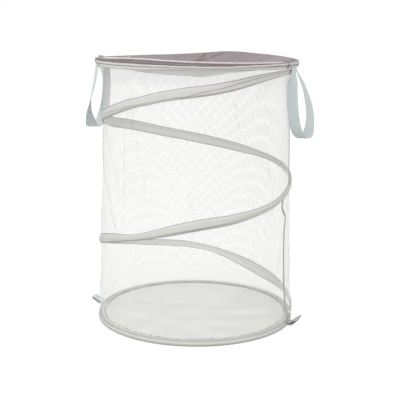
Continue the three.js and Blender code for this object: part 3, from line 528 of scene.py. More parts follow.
def tone_group() -> NodeTree:
    """Makes the uneven tone of used cloth: broad patches, fine fibres and grime."""
    inputs = [
        ("Place", VECTOR, None), ("Patches", FLOAT, 0.06), ("Fibres", FLOAT, 0.05), ("Grime", FLOAT, 0.0),
    ]
    g, start, end = new_group("cloth_tone", inputs, [("Shade", FLOAT), ("Rough", FLOAT)])
    place = start["Place"]
    broad = g.add("ShaderNodeTexNoise", {"Vector": place, "Scale": 16.0, "Detail": 3.0}).outputs[0]
    fine = g.add("ShaderNodeTexNoise", {"Vector": place, "Scale": 900.0, "Detail": 2.0}).outputs[0]
    spots = g.add("ShaderNodeTexNoise", {"Vector": place, "Scale": 55.0, "Detail": 6.0, "Roughness": 0.7})
    patch = g.math("MULTIPLY", g.math("SUBTRACT", broad, 0.5), start["Patches"])
    fibre = g.math("MULTIPLY", g.math("SUBTRACT", fine, 0.5), start["Fibres"])
    grime = g.math("MULTIPLY", g.band(spots.outputs[0], 0.55, 0.75), start["Grime"])
    shade = g.math("SUBTRACT", g.math("ADD", g.math("ADD", 1.0, patch), fibre), grime)
    g.tree.links.new(shade, end["Shade"])
    g.tree.links.new(g.math("MULTIPLY", fine, 0.12), end["Rough"])
    return g.tree


def net_group() -> NodeTree:
    """Makes the knitted net: slanting strands that thicken where they cross."""
    inputs = [
        ("Cloth", VECTOR, None), ("Pitch", FLOAT, 3.0), ("Course", FLOAT, 4.0),
        ("Strand", FLOAT, 0.4), ("Fold", FLOAT, 0.0),
    ]
    g, start, end = new_group("knitted_net", inputs, [("Cover", FLOAT), ("Height", FLOAT)])
    split = g.add("ShaderNodeSeparateXYZ", {0: start["Cloth"]})
    along = g.math("DIVIDE", g.math("MULTIPLY", split.outputs[0], 1000.0), start["Pitch"])
    up = g.math("DIVIDE", g.math("MULTIPLY", split.outputs[1], 1000.0), start["Course"])
    strands = []
    for operation in ("ADD", "SUBTRACT"):
        wave = g.math("COSINE", g.math("MULTIPLY", g.math(operation, along, up), 2 * math.pi))
        strands.append(g.math("POWER", g.math("MULTIPLY_ADD", wave, 0.5, 0.5), 4.0))
    height = g.math("ADD", *strands)
    edge = g.math("SUBTRACT", start["Strand"], start["Fold"])
    cover = g.math("MULTIPLY", g.math("SUBTRACT", height, edge), 9.0)
    g.tree.links.new(g.math("ADD", cover, 0.5, clamp=True), end["Cover"])
    g.tree.links.new(height, end["Height"])
    return g.tree


# Finishes


def brighten(value: tuple) -> tuple:
    """Turns a colour as a screen shows it into a shader's linear colour."""
    linear = [(v / 255 / 12.92) if v <= 10.3 else ((v / 255 + 0.055) / 1.055) ** 2.4 for v in value]
    return (*linear, 1.0)


def new_material(name: str) -> tuple[Material, Graph, Node]:
    """Makes a material.

    Args:
        name: Its name.

    Returns:
        The material, its graph and its shader node.
    """
    made = bpy.data.materials.new(name)
    made.use_nodes = True
    return made, Graph(made.node_tree), made.node_tree.nodes["Principled BSDF"]


@dataclass(frozen=True)
class Cloth:
    """A woven cloth finish, its colours as a screen shows them."""

    name: str
    colour: tuple  # of its raised threads
    deep: tuple  # painted shade between its threads
    warp: float = 0.5  # pitch of the threads along the cloth, in millimetres
    weft: float = 0.5  # and across it
    bump: float = 0.12 * MM
    roughness: float = 0.75
    sheen: float = 0.15
    patches: float = 0.06  # share by which its tone varies from place to place
    grime: float = 0.0  # share by which spots are darker
    crease_shade: float = 0.45  # share by which a full crease mark darkens it, a painted shade
    reverse: tuple = (252, 252, 250)  # colour that the mark of that name shows: the lid's real underside, and as this default a painted light on the sleeve's back

    def material(self, groups: dict) -> Material:
        """Makes the material.

        Args:
            groups: The shared node groups by name.

        Returns:
            The material.
        """
        made, g, shader = new_material(self.name)
        weave = g.add("ShaderNodeGroup", {
            "Cloth": g.add("ShaderNodeUVMap", uv_map="Cloth").outputs[0],
            "Warp Pitch": self.warp, "Weft Pitch": self.weft,
        }, node_tree=groups["weave"])
        tone = g.add("ShaderNodeGroup", {
            "Place": g.add("ShaderNodeTexCoord").outputs["Object"],
            "Patches": self.patches, "Grime": self.grime,
        }, node_tree=groups["tone"])
        # Painted shade: the colour darkens towards the one between the threads where the weave dips.
        base = g.mix(weave.outputs["Shade"], brighten(self.deep), brighten(self.colour))
        base = g.mix(g.mark("reverse"), base, brighten(self.reverse))
        # The crease mark paints shade in creases, folds, tucks and shaded sides, and below 0 it paints the
        # cloth lighter.
        creased = g.math("MULTIPLY_ADD", g.mark("crease"), -self.crease_shade, 1.0)
        shade = g.math("MULTIPLY", tone.outputs["Shade"], creased)
        bump = g.add("ShaderNodeBump", {
            "Height": weave.outputs["Height"], "Distance": self.bump, "Strength": 0.6,
        })
        g.feed(shader, {
            "Base Color": g.scaled(base, shade),
            "Roughness": g.math("ADD", tone.outputs["Rough"], self.roughness),
            "Normal": bump.outputs[0],
            "Sheen Weight": self.sheen, "Sheen Roughness": 0.4, "Specular IOR Level": 0.25,
        })
        return made


@dataclass(frozen=True)
class Net:
    """The knitted net's finish, open between its strands."""

    name: str = "white_net"
    colour: tuple = (238, 239, 236)
    meshes_round: int = 310  # in the hamper's girth
    course: float = 4.75  # height of a mesh, in millimetres
    strand: float = 0.86  # level of the pattern over which there is a strand
    fold_cover: float = 0.3  # how far a fold lowers that level
    even_cover: float = 0.25  # share that is covered where the pattern has faded into a veil
    edge_cover: float = 0.3  # how much more where it is seen edge on
    fade: tuple = (0.3, 0.7)  # how slanted it is seen where the pattern starts to fade and is gone

    def material(self, groups: dict) -> Material:
        """Makes the material, whose strands are drawn only where light enters the skin.

        Args:
            groups: The shared node groups by name.

        Returns:
            The material.
        """
        made, g, shader = new_material(self.name)
        fold = g.mark("crease")
        net = g.add("ShaderNodeGroup", {
            "Cloth": g.add("ShaderNodeUVMap", uv_map="Cloth").outputs[0],
            "Pitch": 2 * math.pi * HOOP_RADIUS / MM / self.meshes_round, "Course": self.course,
            "Strand": self.strand, "Fold": g.math("MULTIPLY", fold, self.fold_cover),
        }, node_tree=groups["net"])
        place = g.add("ShaderNodeTexCoord").outputs["Object"]
        tone = g.add("ShaderNodeGroup", {"Place": place}, node_tree=groups["tone"])
        # Painted shade: the strands darker along the net's folds.
        shade = g.math("MULTIPLY", tone.outputs["Shade"], g.band(fold, 0.0, 1.0, 1.0, 0.8))
        slant = g.add("ShaderNodeLayerWeight", {"Blend": 0.5}).outputs["Facing"]
        veil = g.math("MULTIPLY_ADD", g.math("POWER", slant, 3.0), self.edge_cover, self.even_cover)
        veil = g.math("MULTIPLY_ADD", fold, self.fold_cover * 0.6, veil)
        even = g.add("ShaderNodeMix", {0: g.band(slant, *self.fade), 2: net.outputs["Cover"], 3: veil})
        entering = g.math("SUBTRACT", 1.0, g.add("ShaderNodeNewGeometry").outputs["Backfacing"])
        bump = g.add("ShaderNodeBump", {
            "Height": net.outputs["Height"], "Distance": 0.15 * MM, "Strength": 0.5,
        })
        g.feed(shader, {
            "Base Color": g.scaled(brighten(self.colour), shade),
            "Alpha": g.math("MULTIPLY", even.outputs[0], entering),
            "Normal": bump.outputs[0], "Roughness": 0.7, "Sheen Weight": 0.1,
        })
        return made


@dataclass(frozen=True)
class Hard:
    """A moulded, cast or drawn finish with fine grain and rubbed places."""

    name: str
    colour: tuple
    worn: tuple  # the colour of its rubbed places
    metallic: float = 0.0
    roughness: float = 0.35
    grain: float = 1500.0  # grains in a metre

    def material(self, groups: dict) -> Material:
        """Makes the material, whose wear and grain follow the piece's own place.

        Args:
            groups: The shared node groups by name.

        Returns:
            The material.
        """
        made, g, shader = new_material(self.name)
        place = g.add("ShaderNodeTexCoord").outputs["Object"]
        tone = g.add("ShaderNodeGroup", {"Place": place}, node_tree=groups["tone"])
        rub = g.add("ShaderNodeTexNoise", {"Vector": place, "Scale": 180.0, "Detail": 4.0}).outputs[0]
        base = g.mix(g.band(rub, 0.5, 0.7), brighten(self.colour), brighten(self.worn))
        grain = g.add("ShaderNodeTexNoise", {"Vector": place, "Scale": self.grain, "Detail": 2.0})
        bump = g.add("ShaderNodeBump", {
            "Height": grain.outputs[0], "Distance": 0.05 * MM, "Strength": 0.3,
        })
        g.feed(shader, {
            "Base Color": g.scaled(base, tone.outputs["Shade"]),
            "Roughness": g.math("ADD", tone.outputs["Rough"], self.roughness),
            "Normal": bump.outputs[0], "Metallic": self.metallic,
        })
        return made


class Finishes:
    """All materials of the hamper, made once from the shared groups."""

    def __init__(self) -> None:
        """Makes the groups and the materials."""
        groups = {"weave": weave_group(), "tone": tone_group(), "net": net_group()}
        finishes = {
            Slot.GREIGE: Cloth("greige_binding", (213, 212, 207), (184, 184, 177), patches=0.08, grime=0.03),
            Slot.FLOOR: Cloth("grey_floor_cloth", (231, 231, 228), (212, 212, 208), patches=0.05),
            Slot.MAUVE: Cloth(
                "mauve_lining", (140, 129, 132), (106, 96, 99), sheen=0.2, patches=0.5, grime=0.16,
                reverse=(235, 229, 234),
            ),
            Slot.PIPING: Cloth(
                "satin_piping", (228, 219, 218), (206, 196, 195), 0.35, 1.1, sheen=0.3, roughness=0.5,
            ),
            Slot.WEBBING: Cloth(
                "grey_blue_webbing", (211, 219, 219), (182, 191, 193), 1.15, 0.9, 0.25 * MM,
            ),
            Slot.ZIP: Hard("nylon_coil", (150, 140, 142), (168, 158, 160)),
            Slot.WIRE: Hard("lacquered_wire", (150, 154, 157), (184, 186, 188), 0.9, 0.3),
            Slot.CAP: Hard("moulded_cap", (232, 232, 228), (240, 240, 237)),
            Slot.SLIDER: Hard("painted_slider", (196, 190, 191), (220, 216, 216), 0.3),
            Slot.NET: Net(),
        }
        self.by_slot = {slot: finish.material(groups) for slot, finish in finishes.items()}
        pulled = Cloth("pulled_binding", (176, 174, 168), (146, 145, 139), patches=0.3)
        tab = Cloth("tab_webbing", (176, 177, 172), (142, 143, 138), 1.15, 0.9)
        self.pulled_binding = pulled.material(groups)
        self.tab_webbing = tab.material(groups)
        self.thread, self.dark_thread, self.mauve_thread, self.grey_thread = (
            Hard(name, colour, worn, roughness=roughness).material(groups)
            for name, colour, worn, roughness in (
                ("greige_thread", (116, 116, 108), (138, 138, 130), 0.6),
                # The near-black thread paints the shadow in the floor seam's puckers.
                ("dark_thread", (46, 45, 41), (70, 69, 64), 0.7),
                ("mauve_thread", (140, 126, 131), (160, 148, 152), 0.6),
                ("grey_blue_thread", (150, 160, 165), (176, 184, 188), 0.6),
            )
        )


# Rows of small bodies


@dataclass(frozen=True)
class Bodies:
    """Sizes of the small bodies in a row of stitches, of zip loops, and of the painted shadow along the
    floor's seam.
    """

    spacing: float
    length: float
    width: float
    height: float
    uneven: float = 0.1  # share by which their sizes vary


HEM_STITCH = Bodies(3.2 * MM, 2.3 * MM, 0.5 * MM, 0.5 * MM)


class RunTree:
    """A Geometry Nodes tree that lays small rounded bodies along a line."""

    def __init__(self) -> None:
        """Builds the tree with its named inputs."""
        inputs = [
            ("Geometry", "NodeSocketGeometry", None), ("Spacing", FLOAT, 3 * MM), ("Length", FLOAT, 2 * MM),
            ("Width", FLOAT, 0.5 * MM), ("Height", FLOAT, 0.4 * MM), ("Uneven", FLOAT, 0.1),
            ("Seed", "NodeSocketInt", 1), ("Material", "NodeSocketMaterial", None),
        ]
        outputs = [("Geometry", "NodeSocketGeometry")]
        g, start, end = new_group("bodies_along_line", inputs, outputs, "GeometryNodeTree")
        links = g.tree.links
        line = g.add("GeometryNodeMeshToCurve", {"Mesh": start["Geometry"]})
        even = g.add("GeometryNodeResampleCurve", {"Curve": line.outputs[0]}, mode="LENGTH")
        links.new(start["Spacing"], even.inputs["Length"])
        body = g.add("GeometryNodeMeshUVSphere", {"Segments": 8, "Rings": 6, "Radius": 0.5})
        shaded = g.add("GeometryNodeSetShadeSmooth", {"Geometry": body.outputs["Mesh"]})
        size = g.add("ShaderNodeCombineXYZ", {
            "X": start["Length"], "Y": start["Width"], "Z": start["Height"],
        })
        shaped = g.add("GeometryNodeTransform", {"Geometry": shaded.outputs[0], "Scale": size.outputs[0]})
        tangent = g.add("GeometryNodeInputTangent")
        out = g.add("GeometryNodeInputNamedAttribute", {"Name": "out"}, data_type="FLOAT_VECTOR")
        turned = g.add("FunctionNodeAlignRotationToVector", {"Vector": tangent.outputs[0]}, axis="X")
        rolled = g.add(
            "FunctionNodeAlignRotationToVector",
            {"Rotation": turned.outputs[0], "Vector": out.outputs[0]},
            axis="Z", pivot_axis="X",
        )
        low = g.math("SUBTRACT", 1.0, start["Uneven"])
        high = g.math("ADD", 1.0, start["Uneven"])
        vary = g.add("FunctionNodeRandomValue", {"Seed": start["Seed"]}, data_type="FLOAT_VECTOR")
        for name, value in (("Min", low), ("Max", high)):
            alike = g.add("ShaderNodeCombineXYZ", {0: value, 1: value, 2: value})
            links.new(alike.outputs[0], vary.inputs[name])
        laid = g.add("GeometryNodeInstanceOnPoints", {
            "Points": even.outputs[0], "Instance": shaped.outputs[0],
            "Rotation": rolled.outputs[0], "Scale": vary.outputs[0],
        })
        real = g.add("GeometryNodeRealizeInstances", {"Geometry": laid.outputs[0]})
        painted = g.add("GeometryNodeSetMaterial", {
            "Geometry": real.outputs[0], "Material": start["Material"],
        })
        links.new(painted.outputs[0], end["Geometry"])
        self.tree = g.tree

    def lay(self, name: str, lines: list, bodies: Bodies, material: Material, seed: int) -> Object:
        """Lays bodies along lines and gives them as one plain mesh object.

        Args:
            name: The piece's name.
            lines: (points, outward directions) of each line.
            bodies: Their sizes.
            material: Their material.
            seed: Chooses how their sizes vary.

        Returns:
            The new object.
        """
        points = np.concatenate([line for line, _ in lines])
        outs = np.concatenate([out for _, out in lines])
        edges, first = [], 0
        for line, _ in lines:
            edges += [(first + i, first + i + 1) for i in range(len(line) - 1)]
            first += len(line)
        mesh = bpy.data.meshes.new(name + "_line")
        mesh.from_pydata(points.tolist(), edges, [])
        attribute = mesh.attributes.new("out", "FLOAT_VECTOR", "POINT")
        attribute.data.foreach_set("vector", outs.astype(np.float32).ravel())
        guide = show(name + "_line", mesh)
        modifier = guide.modifiers.new("run", "NODES")
        modifier.node_group = self.tree
        values = {key.capitalize(): value for key, value in asdict(bodies).items()}
        values |= {"Seed": seed, "Material": material}
        for item in self.tree.interface.items_tree:
            if item.in_out == "INPUT" and item.name in values:
                modifier[item.identifier] = values[item.name]
        bpy.context.view_layer.update()
        graph = bpy.context.evaluated_depsgraph_get()
        plain = bpy.data.meshes.new_from_object(guide.evaluated_get(graph), depsgraph=graph)
        plain.name = name
        bpy.data.objects.remove(guide)
        return show(name, plain)


@dataclass
class SubAssembly:
    """What every sub-assembly has: the finishes, the tree for stitches and ways to hand in pieces."""

    finishes: Finishes
    runs: RunTree

    def hand_in(
        self, piece: Object, slot: Slot, body: Body | None, replaces: tuple = (),
        material: Material | None = None,
    ) -> Object:
        """Gives a piece its finish and its place in the frame.

        Args:
            piece: The finished piece.
            slot: The record's material slot.
            body: The body that it rides on, or None to leave it unattached.
            replaces: The CAD nodes that it stands for.
            material: Its material, if it isn't the slot's own.

        Returns:
            The piece.
        """
        piece.data.materials.clear()
        piece.data.materials.append(material or self.finishes.by_slot[slot])
        if body is not None:
            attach(piece, body.value)
        if replaces:
            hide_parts(*replaces)
        LOG.info("%s: %d faces", piece.name, len(piece.data.polygons))
        return piece

    def sew(
        self, name: str, lines: list, bodies: Bodies, slot: Slot, body: Body, thread: Material, seed: int,
    ) -> Object:
        """Sews rows of stitches, each given by its points and outward directions, and hands them in."""
        stitches = self.runs.lay(name, lines, bodies, thread, seed)
        return self.hand_in(stitches, slot, body, material=thread)

    def fold_flat(self, piece: Object) -> None:
        """Gives a piece between foot and rim its own copy of its mesh."""
        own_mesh(piece)

    def bend_at_fold(self, piece: Object) -> None:
        """Bakes the placement of a piece of the lid into its mesh.

        Args:
            piece: The piece.
        """
        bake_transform(piece)

    def keep_nodes(self, slot: Slot, *nodes: str) -> None:
        """Gives CAD nodes that stay their finish.

        Args:
            slot: The slot whose finish they get.
            *nodes: Their names.
        """
        for node in nodes:
            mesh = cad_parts[node].data
            mesh.materials.clear()
            mesh.materials.append(self.finishes.by_slot[slot])
            LOG.info("%s: CAD node with the %s finish", node, slot.value)


def hem_outline(height: float, puff: float) -> Array:
    """Gives a hem's outline as offsets from the hoop's radius and distances from the fold.

    Args:
        height: From the hem's fold to its mouth.
        puff: How far its cloth stands out round the hoop beyond the seam.

    Returns:
        The closed outline.
    """
    wide = HEM_HALF_WIDTH + puff
    neck = 1.45 * MM
    outer = [
        [0.0, 0.0], [0.6 * wide, 0.25 * MM], [0.97 * wide, 1.7 * MM], [wide, 3.2 * MM],
        [0.93 * wide, 4.9 * MM], [0.7 * wide, 6.6 * MM], [neck + 0.25 * MM, height - 2.2 * MM],
        [neck - 0.15 * MM, height - 1.5 * MM], [neck + 0.1 * MM, height],
    ]
    inner = [[0.65 * MM, height], [0.65 * MM, height - 2 * MM], [2.2 * MM, 4.4 * MM], [1.8 * MM, 1.5 * MM]]
    half = outer + inner
    mirrored = [[-u, v] for u, v in half[::-1] if u > 0]
    return rounded(half + [[0.0, 0.9 * MM]] + mirrored, 64)


@dataclass
class Foot(SubAssembly):
    """The hamper's floor, the seam that joins it, the lower hem and the two tabs."""

    hem_puff: float = 0.1 * MM
    hem_lift: float = 2 * MM  # how far the hem is pulled up behind
    hem_stitch_out: float = 1.75 * MM
    hem_stitch_height: float = 10.3 * MM
    floor_radius: float = 185.2 * MM
    floor_flat_radius: float = 185.5 * MM  # before it is sewn in
    floor_cloth: float = 0.8 * MM
    floor_rest: float = 0.95 * MM  # height of the floor's upper face where it lies flat
    floor_waves: float = 3.4 * MM
    seam_radius: float = 181.1 * MM
    seam_height: float = 7.9 * MM
    seam_lift: float = 2.6 * MM  # how far the floor's seam is pulled up behind
    # The floor seam's bodies are near-black clumps that paint the shadow in its puckers.
    seam_stitch: Bodies = Bodies(6.8 * MM, 4.9 * MM, 2.7 * MM, 0.9 * MM, 0.6)
    tab_root: float = 193.95 * MM
    tab_length: float = 27 * MM
    tab_width: float = 20 * MM
    tab_height: float = 6.5 * MM
    tab_parting: float = 1.45 * MM  # half of the most that the plies stand apart
    tab_bend: tuple = (1 * MM, 7 * MM)  # from the root, where it bends
    webbing: float = 1.4 * MM
    # The floor's piping in section, in millimetres from the seam's place: out and up
    seam_outline: tuple = (
        (-1.75, 0), (-1.8, 0.9), (-1.4, 1.75), (-0.7, 2.1), (0.0, 1.8), (0.5, 1.15), (0.9, 1.05),
        (1.4, 1.6), (2.1, 1.75), (2.9, 1.6), (4.2, 1.2), (5.4, 0.9), (5.9, 0.4), (6.0, 0.0),
    )
    # Folds of the floor cloth: both ends in millimetres, its width and how far it stands up
    floor_folds: tuple = (
        ((-137, -9), (-58, -58), 19, 0.32), ((-58, -58), (40, -135), 17, 0.34),
        ((-58, -58), (-112, -140), 19, 0.28), ((50, -10), (146, 3), 15, 0.32),
        ((-90, 76), (38, 52), 15, 0.24), ((61, -76), (150, -50), 17, 0.3),
        ((-20, 120), (70, 100), 14, 0.2), ((-40, -20), (50, -10), 16, 0.24),
    )

    def build(self) -> None:
        """Builds the foot's pieces."""
        hem = self.hem()
        self.floor(hem)
        self.seam()
        self.tab("tab_right", -21.0, 42.0, Body.RIGHT_TAB, self.finishes.tab_webbing)
        self.tab("tab_left", 164.0, 31.0, Body.LEFT_TAB, None)
        self.keep_nodes(Slot.WIRE, "bottom_hoop", "bottom_hoop_ferrule")

    def _seam_heights(self, azimuths: Array) -> Array:
        """Gives how high the floor's seam runs, which is higher behind."""
        return self.seam_height + self.seam_lift * smooth(np.sin(azimuths * DEGREE), -0.3, 0.5)

    def hem(self) -> Object:
        """Builds the folded hem round the lower hoop, with its pulled seam."""
        azimuths = all_round(720)
        outline = hem_outline(FOOT_MOUTH, self.hem_puff)
        up = outline[:, 1]
        pull = ripple(azimuths, 11, 90, 170) * 0.25 + ripple(azimuths, 12, 10, 28) * 0.3
        near_seam = smooth(up, 5 * MM, 10 * MM)
        section = np.repeat(outline[None], len(azimuths), 0)
        section[..., 0] *= 1 + 0.16 * pull[:, None] * (0.25 + near_seam)
        behind = self.hem_lift * smooth(np.sin(azimuths * DEGREE), 0, 0.7)
        section[..., 1] += (pull * 0.5 * MM + behind)[:, None] * near_seam
        section[..., 0] += HOOP_RADIUS
        section[..., 1] = np.maximum(section[..., 1], 0.05 * MM)
        sheet = ring(azimuths, section)
        # Painted shade: the outer face darker towards its lower edge, where shade falls, and along the
        # pulled seam line.
        lower = 0.55 * (1 - smooth(up, 3.6 * MM, 6.2 * MM))
        lowest_shade = 0.1 * (1 - smooth(up, 1 * MM, 3 * MM))
        seam_line = 0.3 * hump(up, 9.9 * MM, 0.6 * MM)
        outside = outline[:, 0] > 0.3 * MM
        sheet.marks = {"crease": (lower + lowest_shade + seam_line) * outside * (1 + 0.15 * pull[:, None])}
        piece = self.hand_in(sheet.build("foot_hem_cloth"), Slot.GREIGE, Body.BASE, ("bottom_hem",))
        places = np.linspace(0, FULL_TURN, 1441)
        row = (polar(places, HOOP_RADIUS + self.hem_stitch_out, self.hem_stitch_height), polar(places, 1, 0))
        self.sew("foot_hem_stitches", [row], HEM_STITCH, Slot.GREIGE, Body.BASE, self.finishes.thread, 3)
        return piece

    def _wrinkle(self, x: Array, y: Array) -> Array:
        """Gives how high the floor's waves and folds stand.

        Args:
            x: Places along X.
            y: Places along Y.

        Returns:
            From about 0 to 1 at each place.
        """
        draw = np.random.default_rng(21)
        waves, ridge, valley = (np.zeros_like(x) for _ in range(3))
        for _ in range(12):
            lean = draw.normal(0, 0.55)
            length = draw.uniform(55, 150) * MM
            phase = draw.uniform(0, 2 * math.pi)
            bend = draw.uniform(-1.2, 1.2)
            way = (y * math.cos(lean) + x * math.sin(lean)) / length
            waves += np.cos(2 * math.pi * way + phase + bend * np.sin(x / (90 * MM) + phase))
        for (x0, y0), (x1, y1), width, rise in self.floor_folds:
            length = math.hypot(x1 - x0, y1 - y0)
            ax, ay = (x1 - x0) / length, (y1 - y0) / length
            dx, dy = x / MM - x0, y / MM - y0
            at = np.clip(dx * ax + dy * ay, 0, length)
            gap = np.hypot(dx - at * ax, dy - at * ay) / width
            below = smooth(dx * ay - dy * ax, -3, 3)
            ridge = np.maximum(ridge, rise * hump(gap, 0, 1))
            valley = np.maximum(valley, 0.6 * rise * below * hump(gap, 1.5, 1))
        return 0.5 + waves * (0.45 / 12) + ridge - valley

    def floor(self, hem: Object) -> None:
        """Builds the floor cloth with its soft folds and its edge at the seam.

        Args:
            hem: The hem that the floor is stretched in; not used.
        """
        rings, count = 68, 270
        radii = self.floor_radius * np.linspace(0, 1, rings + 1)[1:]
        azimuths = all_round(count)
        places = polar(azimuths[None, :], radii[:, None], 0.0)
        share = radii[:, None] / self.floor_radius
        free = 1 - smooth(share, 0.8, 0.93)
        wrinkle = self._wrinkle(places[..., 0], places[..., 1])
        near_edge = smooth(share, 0.86, 0.93) * (1 - smooth(share, 0.94, 0.965))
        gathers = ripple(azimuths, 5, 40, 90)[None, :] * near_edge
        edge = (self._seam_heights(azimuths)[None, :] - self.floor_rest) * smooth(share, 0.88, 0.965)
        top = self.floor_rest + self.floor_waves * wrinkle * free + edge + 0.3 * MM * gathers
        top = np.maximum(top, self.floor_rest)
        upper, under = (
            np.concatenate([places[..., :2], (top - drop)[..., None]], -1)
            for drop in (0.0, self.floor_cloth)
        )
        rows = np.concatenate([upper, under[::-1]])
        # Painted shade and highlight: the cloth darker in its low places and gathers, lighter on its raised
        # ones.
        folds = 0.45 * (0.5 - wrinkle) * free + 0.12 * np.maximum(gathers, 0)
        marks = {"crease": np.concatenate([folds, folds[::-1]])}
        piece = disc(rows, marks).build("floor_cloth", crease=80)
        self.hand_in(piece, Slot.FLOOR, Body.BASE, ("floor_panel",))

    def seam(self) -> None:
        """Builds the doubled piping between floor and hem, with painted shade on its inner face, and the
        near-black bodies along it that paint the shadow in its puckers.
        """
        azimuths = all_round(900)
        pull = ripple(azimuths, 31, 80, 200, 9)
        slow = ripple(azimuths, 32, 4, 14)
        outline = np.array(self.seam_outline) * MM
        section = np.repeat(outline[None], len(azimuths), 0)
        low = self._seam_heights(azimuths)[:, None] + 0.2 * MM
        section[..., 1] = low + section[..., 1] * (1 + 0.16 * pull[:, None] + 0.12 * slow[:, None])
        section[..., 0] += self.seam_radius + 0.35 * MM * slow[:, None]
        sheet = ring(azimuths, section)
        # Painted shade in patches on the piping's inner face, the shade of its puckers, stronger behind.
        face = 1 - smooth(outline[:, 0], -1.5 * MM, -0.5 * MM)
        patchy = np.clip(0.7 + 0.6 * ripple(azimuths, 34, 12, 50) + 0.3 * pull, 0.1, 1.75)
        patchy *= 0.2 + 0.8 * smooth(np.sin(azimuths * DEGREE), -0.5, 0)
        sheet.marks = {"crease": patchy[:, None] * face}
        piece = sheet.build("floor_seam_piping")
        self.hand_in(piece, Slot.GREIGE, Body.BASE, ("floor_seam_binding",))
        places = np.linspace(0, FULL_TURN, 1801)
        wander = ripple(places, 33, 20, 60) * 0.8 * MM
        radius = self.seam_radius - 1.85 * MM + 0.3 * wander
        line = polar(places, radius, self._seam_heights(places) + 1.4 * MM + 0.8 * wander)
        # The near-black bodies along the seam are a painted shadow, the shade in its puckers.
        self.sew(
            "floor_seam_shadow_marks", [(line, -polar(places, 1, 0))], self.seam_stitch, Slot.GREIGE,
            Body.BASE, self.finishes.dark_thread, 8,
        )

    def _tab_outline(self, rise: float) -> Array:
        """Gives a tab's outline seen from its side: both plies and the fold at its tip.

        Args:
            rise: How steeply its tip stands up, in degrees.

        Returns:
            Distances out from its root and up from its middle height.
        """
        share = np.linspace(-0.09, 1, 26)
        inside_share = np.clip(share, 0, 1)
        steps = 200
        fine = np.linspace(0, 1, steps + 1)
        lean, fine_lean = (rise * DEGREE * smooth(places, 0.07, 0.47) for places in (inside_share, fine))
        out, up = (
            np.interp(inside_share, fine, np.append(0, np.cumsum(part)) * self.tab_length / steps)
            for part in (np.cos(fine_lean[:-1]), np.sin(fine_lean[:-1]))
        )
        out = out + np.minimum(share, 0) * self.tab_length
        apart = self.tab_parting * np.sin(inside_share * math.pi) ** 0.5
        normal = np.stack([-np.sin(lean), np.cos(lean)], -1)
        line = np.stack([out, up], -1)
        faces = []
        for side in (1, -1):
            for depth in (0.05 * MM, self.webbing):
                faces.append(line + normal * (side * (apart + depth))[:, None])
        upper_inner, upper_outer, lower_inner, lower_outer = faces
        last = line[-1] - line[-2]
        tip = line[-1] + last / np.linalg.norm(last) * 0.9 * MM
        return np.vstack([
            upper_outer, tip, lower_outer[::-1], lower_inner[:-1], upper_inner[:-1][::-1],
        ])

    def tab(self, name: str, azimuth: float, rise: float, body: Body, finish: Material | None) -> None:
        """Builds a tab of webbing folded double and sewn under the hem.

        Args:
            name: The tab's name.
            azimuth: Where it stands out from the foot.
            rise: How steeply its tip stands up, in degrees.
            body: The body meant to carry its tip; not used.
            finish: Its own webbing, or None for the loops' webbing.
        """
        outline = self._tab_outline(rise)
        way = np.array([math.cos(azimuth * DEGREE), math.sin(azimuth * DEGREE), 0])
        across = np.array([-way[1], way[0], 0])
        upright = np.array([0, 0, 1.0])
        stations = []
        for place in np.linspace(-1, 1, 9):
            bow = 0.35 * MM * (1 - place**2)
            trim = 1 - 0.004 * abs(place) ** 6
            points = way * (self.tab_root + outline[:, :1] * trim)
            points = points + upright * (self.tab_height + outline[:, 1:] + bow * 0.4)
            stations.append(points + across * place * self.tab_width / 2)
        piece = sweep(np.array(stations), False).build(name + "_webbing", crease=40)
        self.hand_in(piece, Slot.WEBBING, None, (name,), material=finish)
        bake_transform(piece)


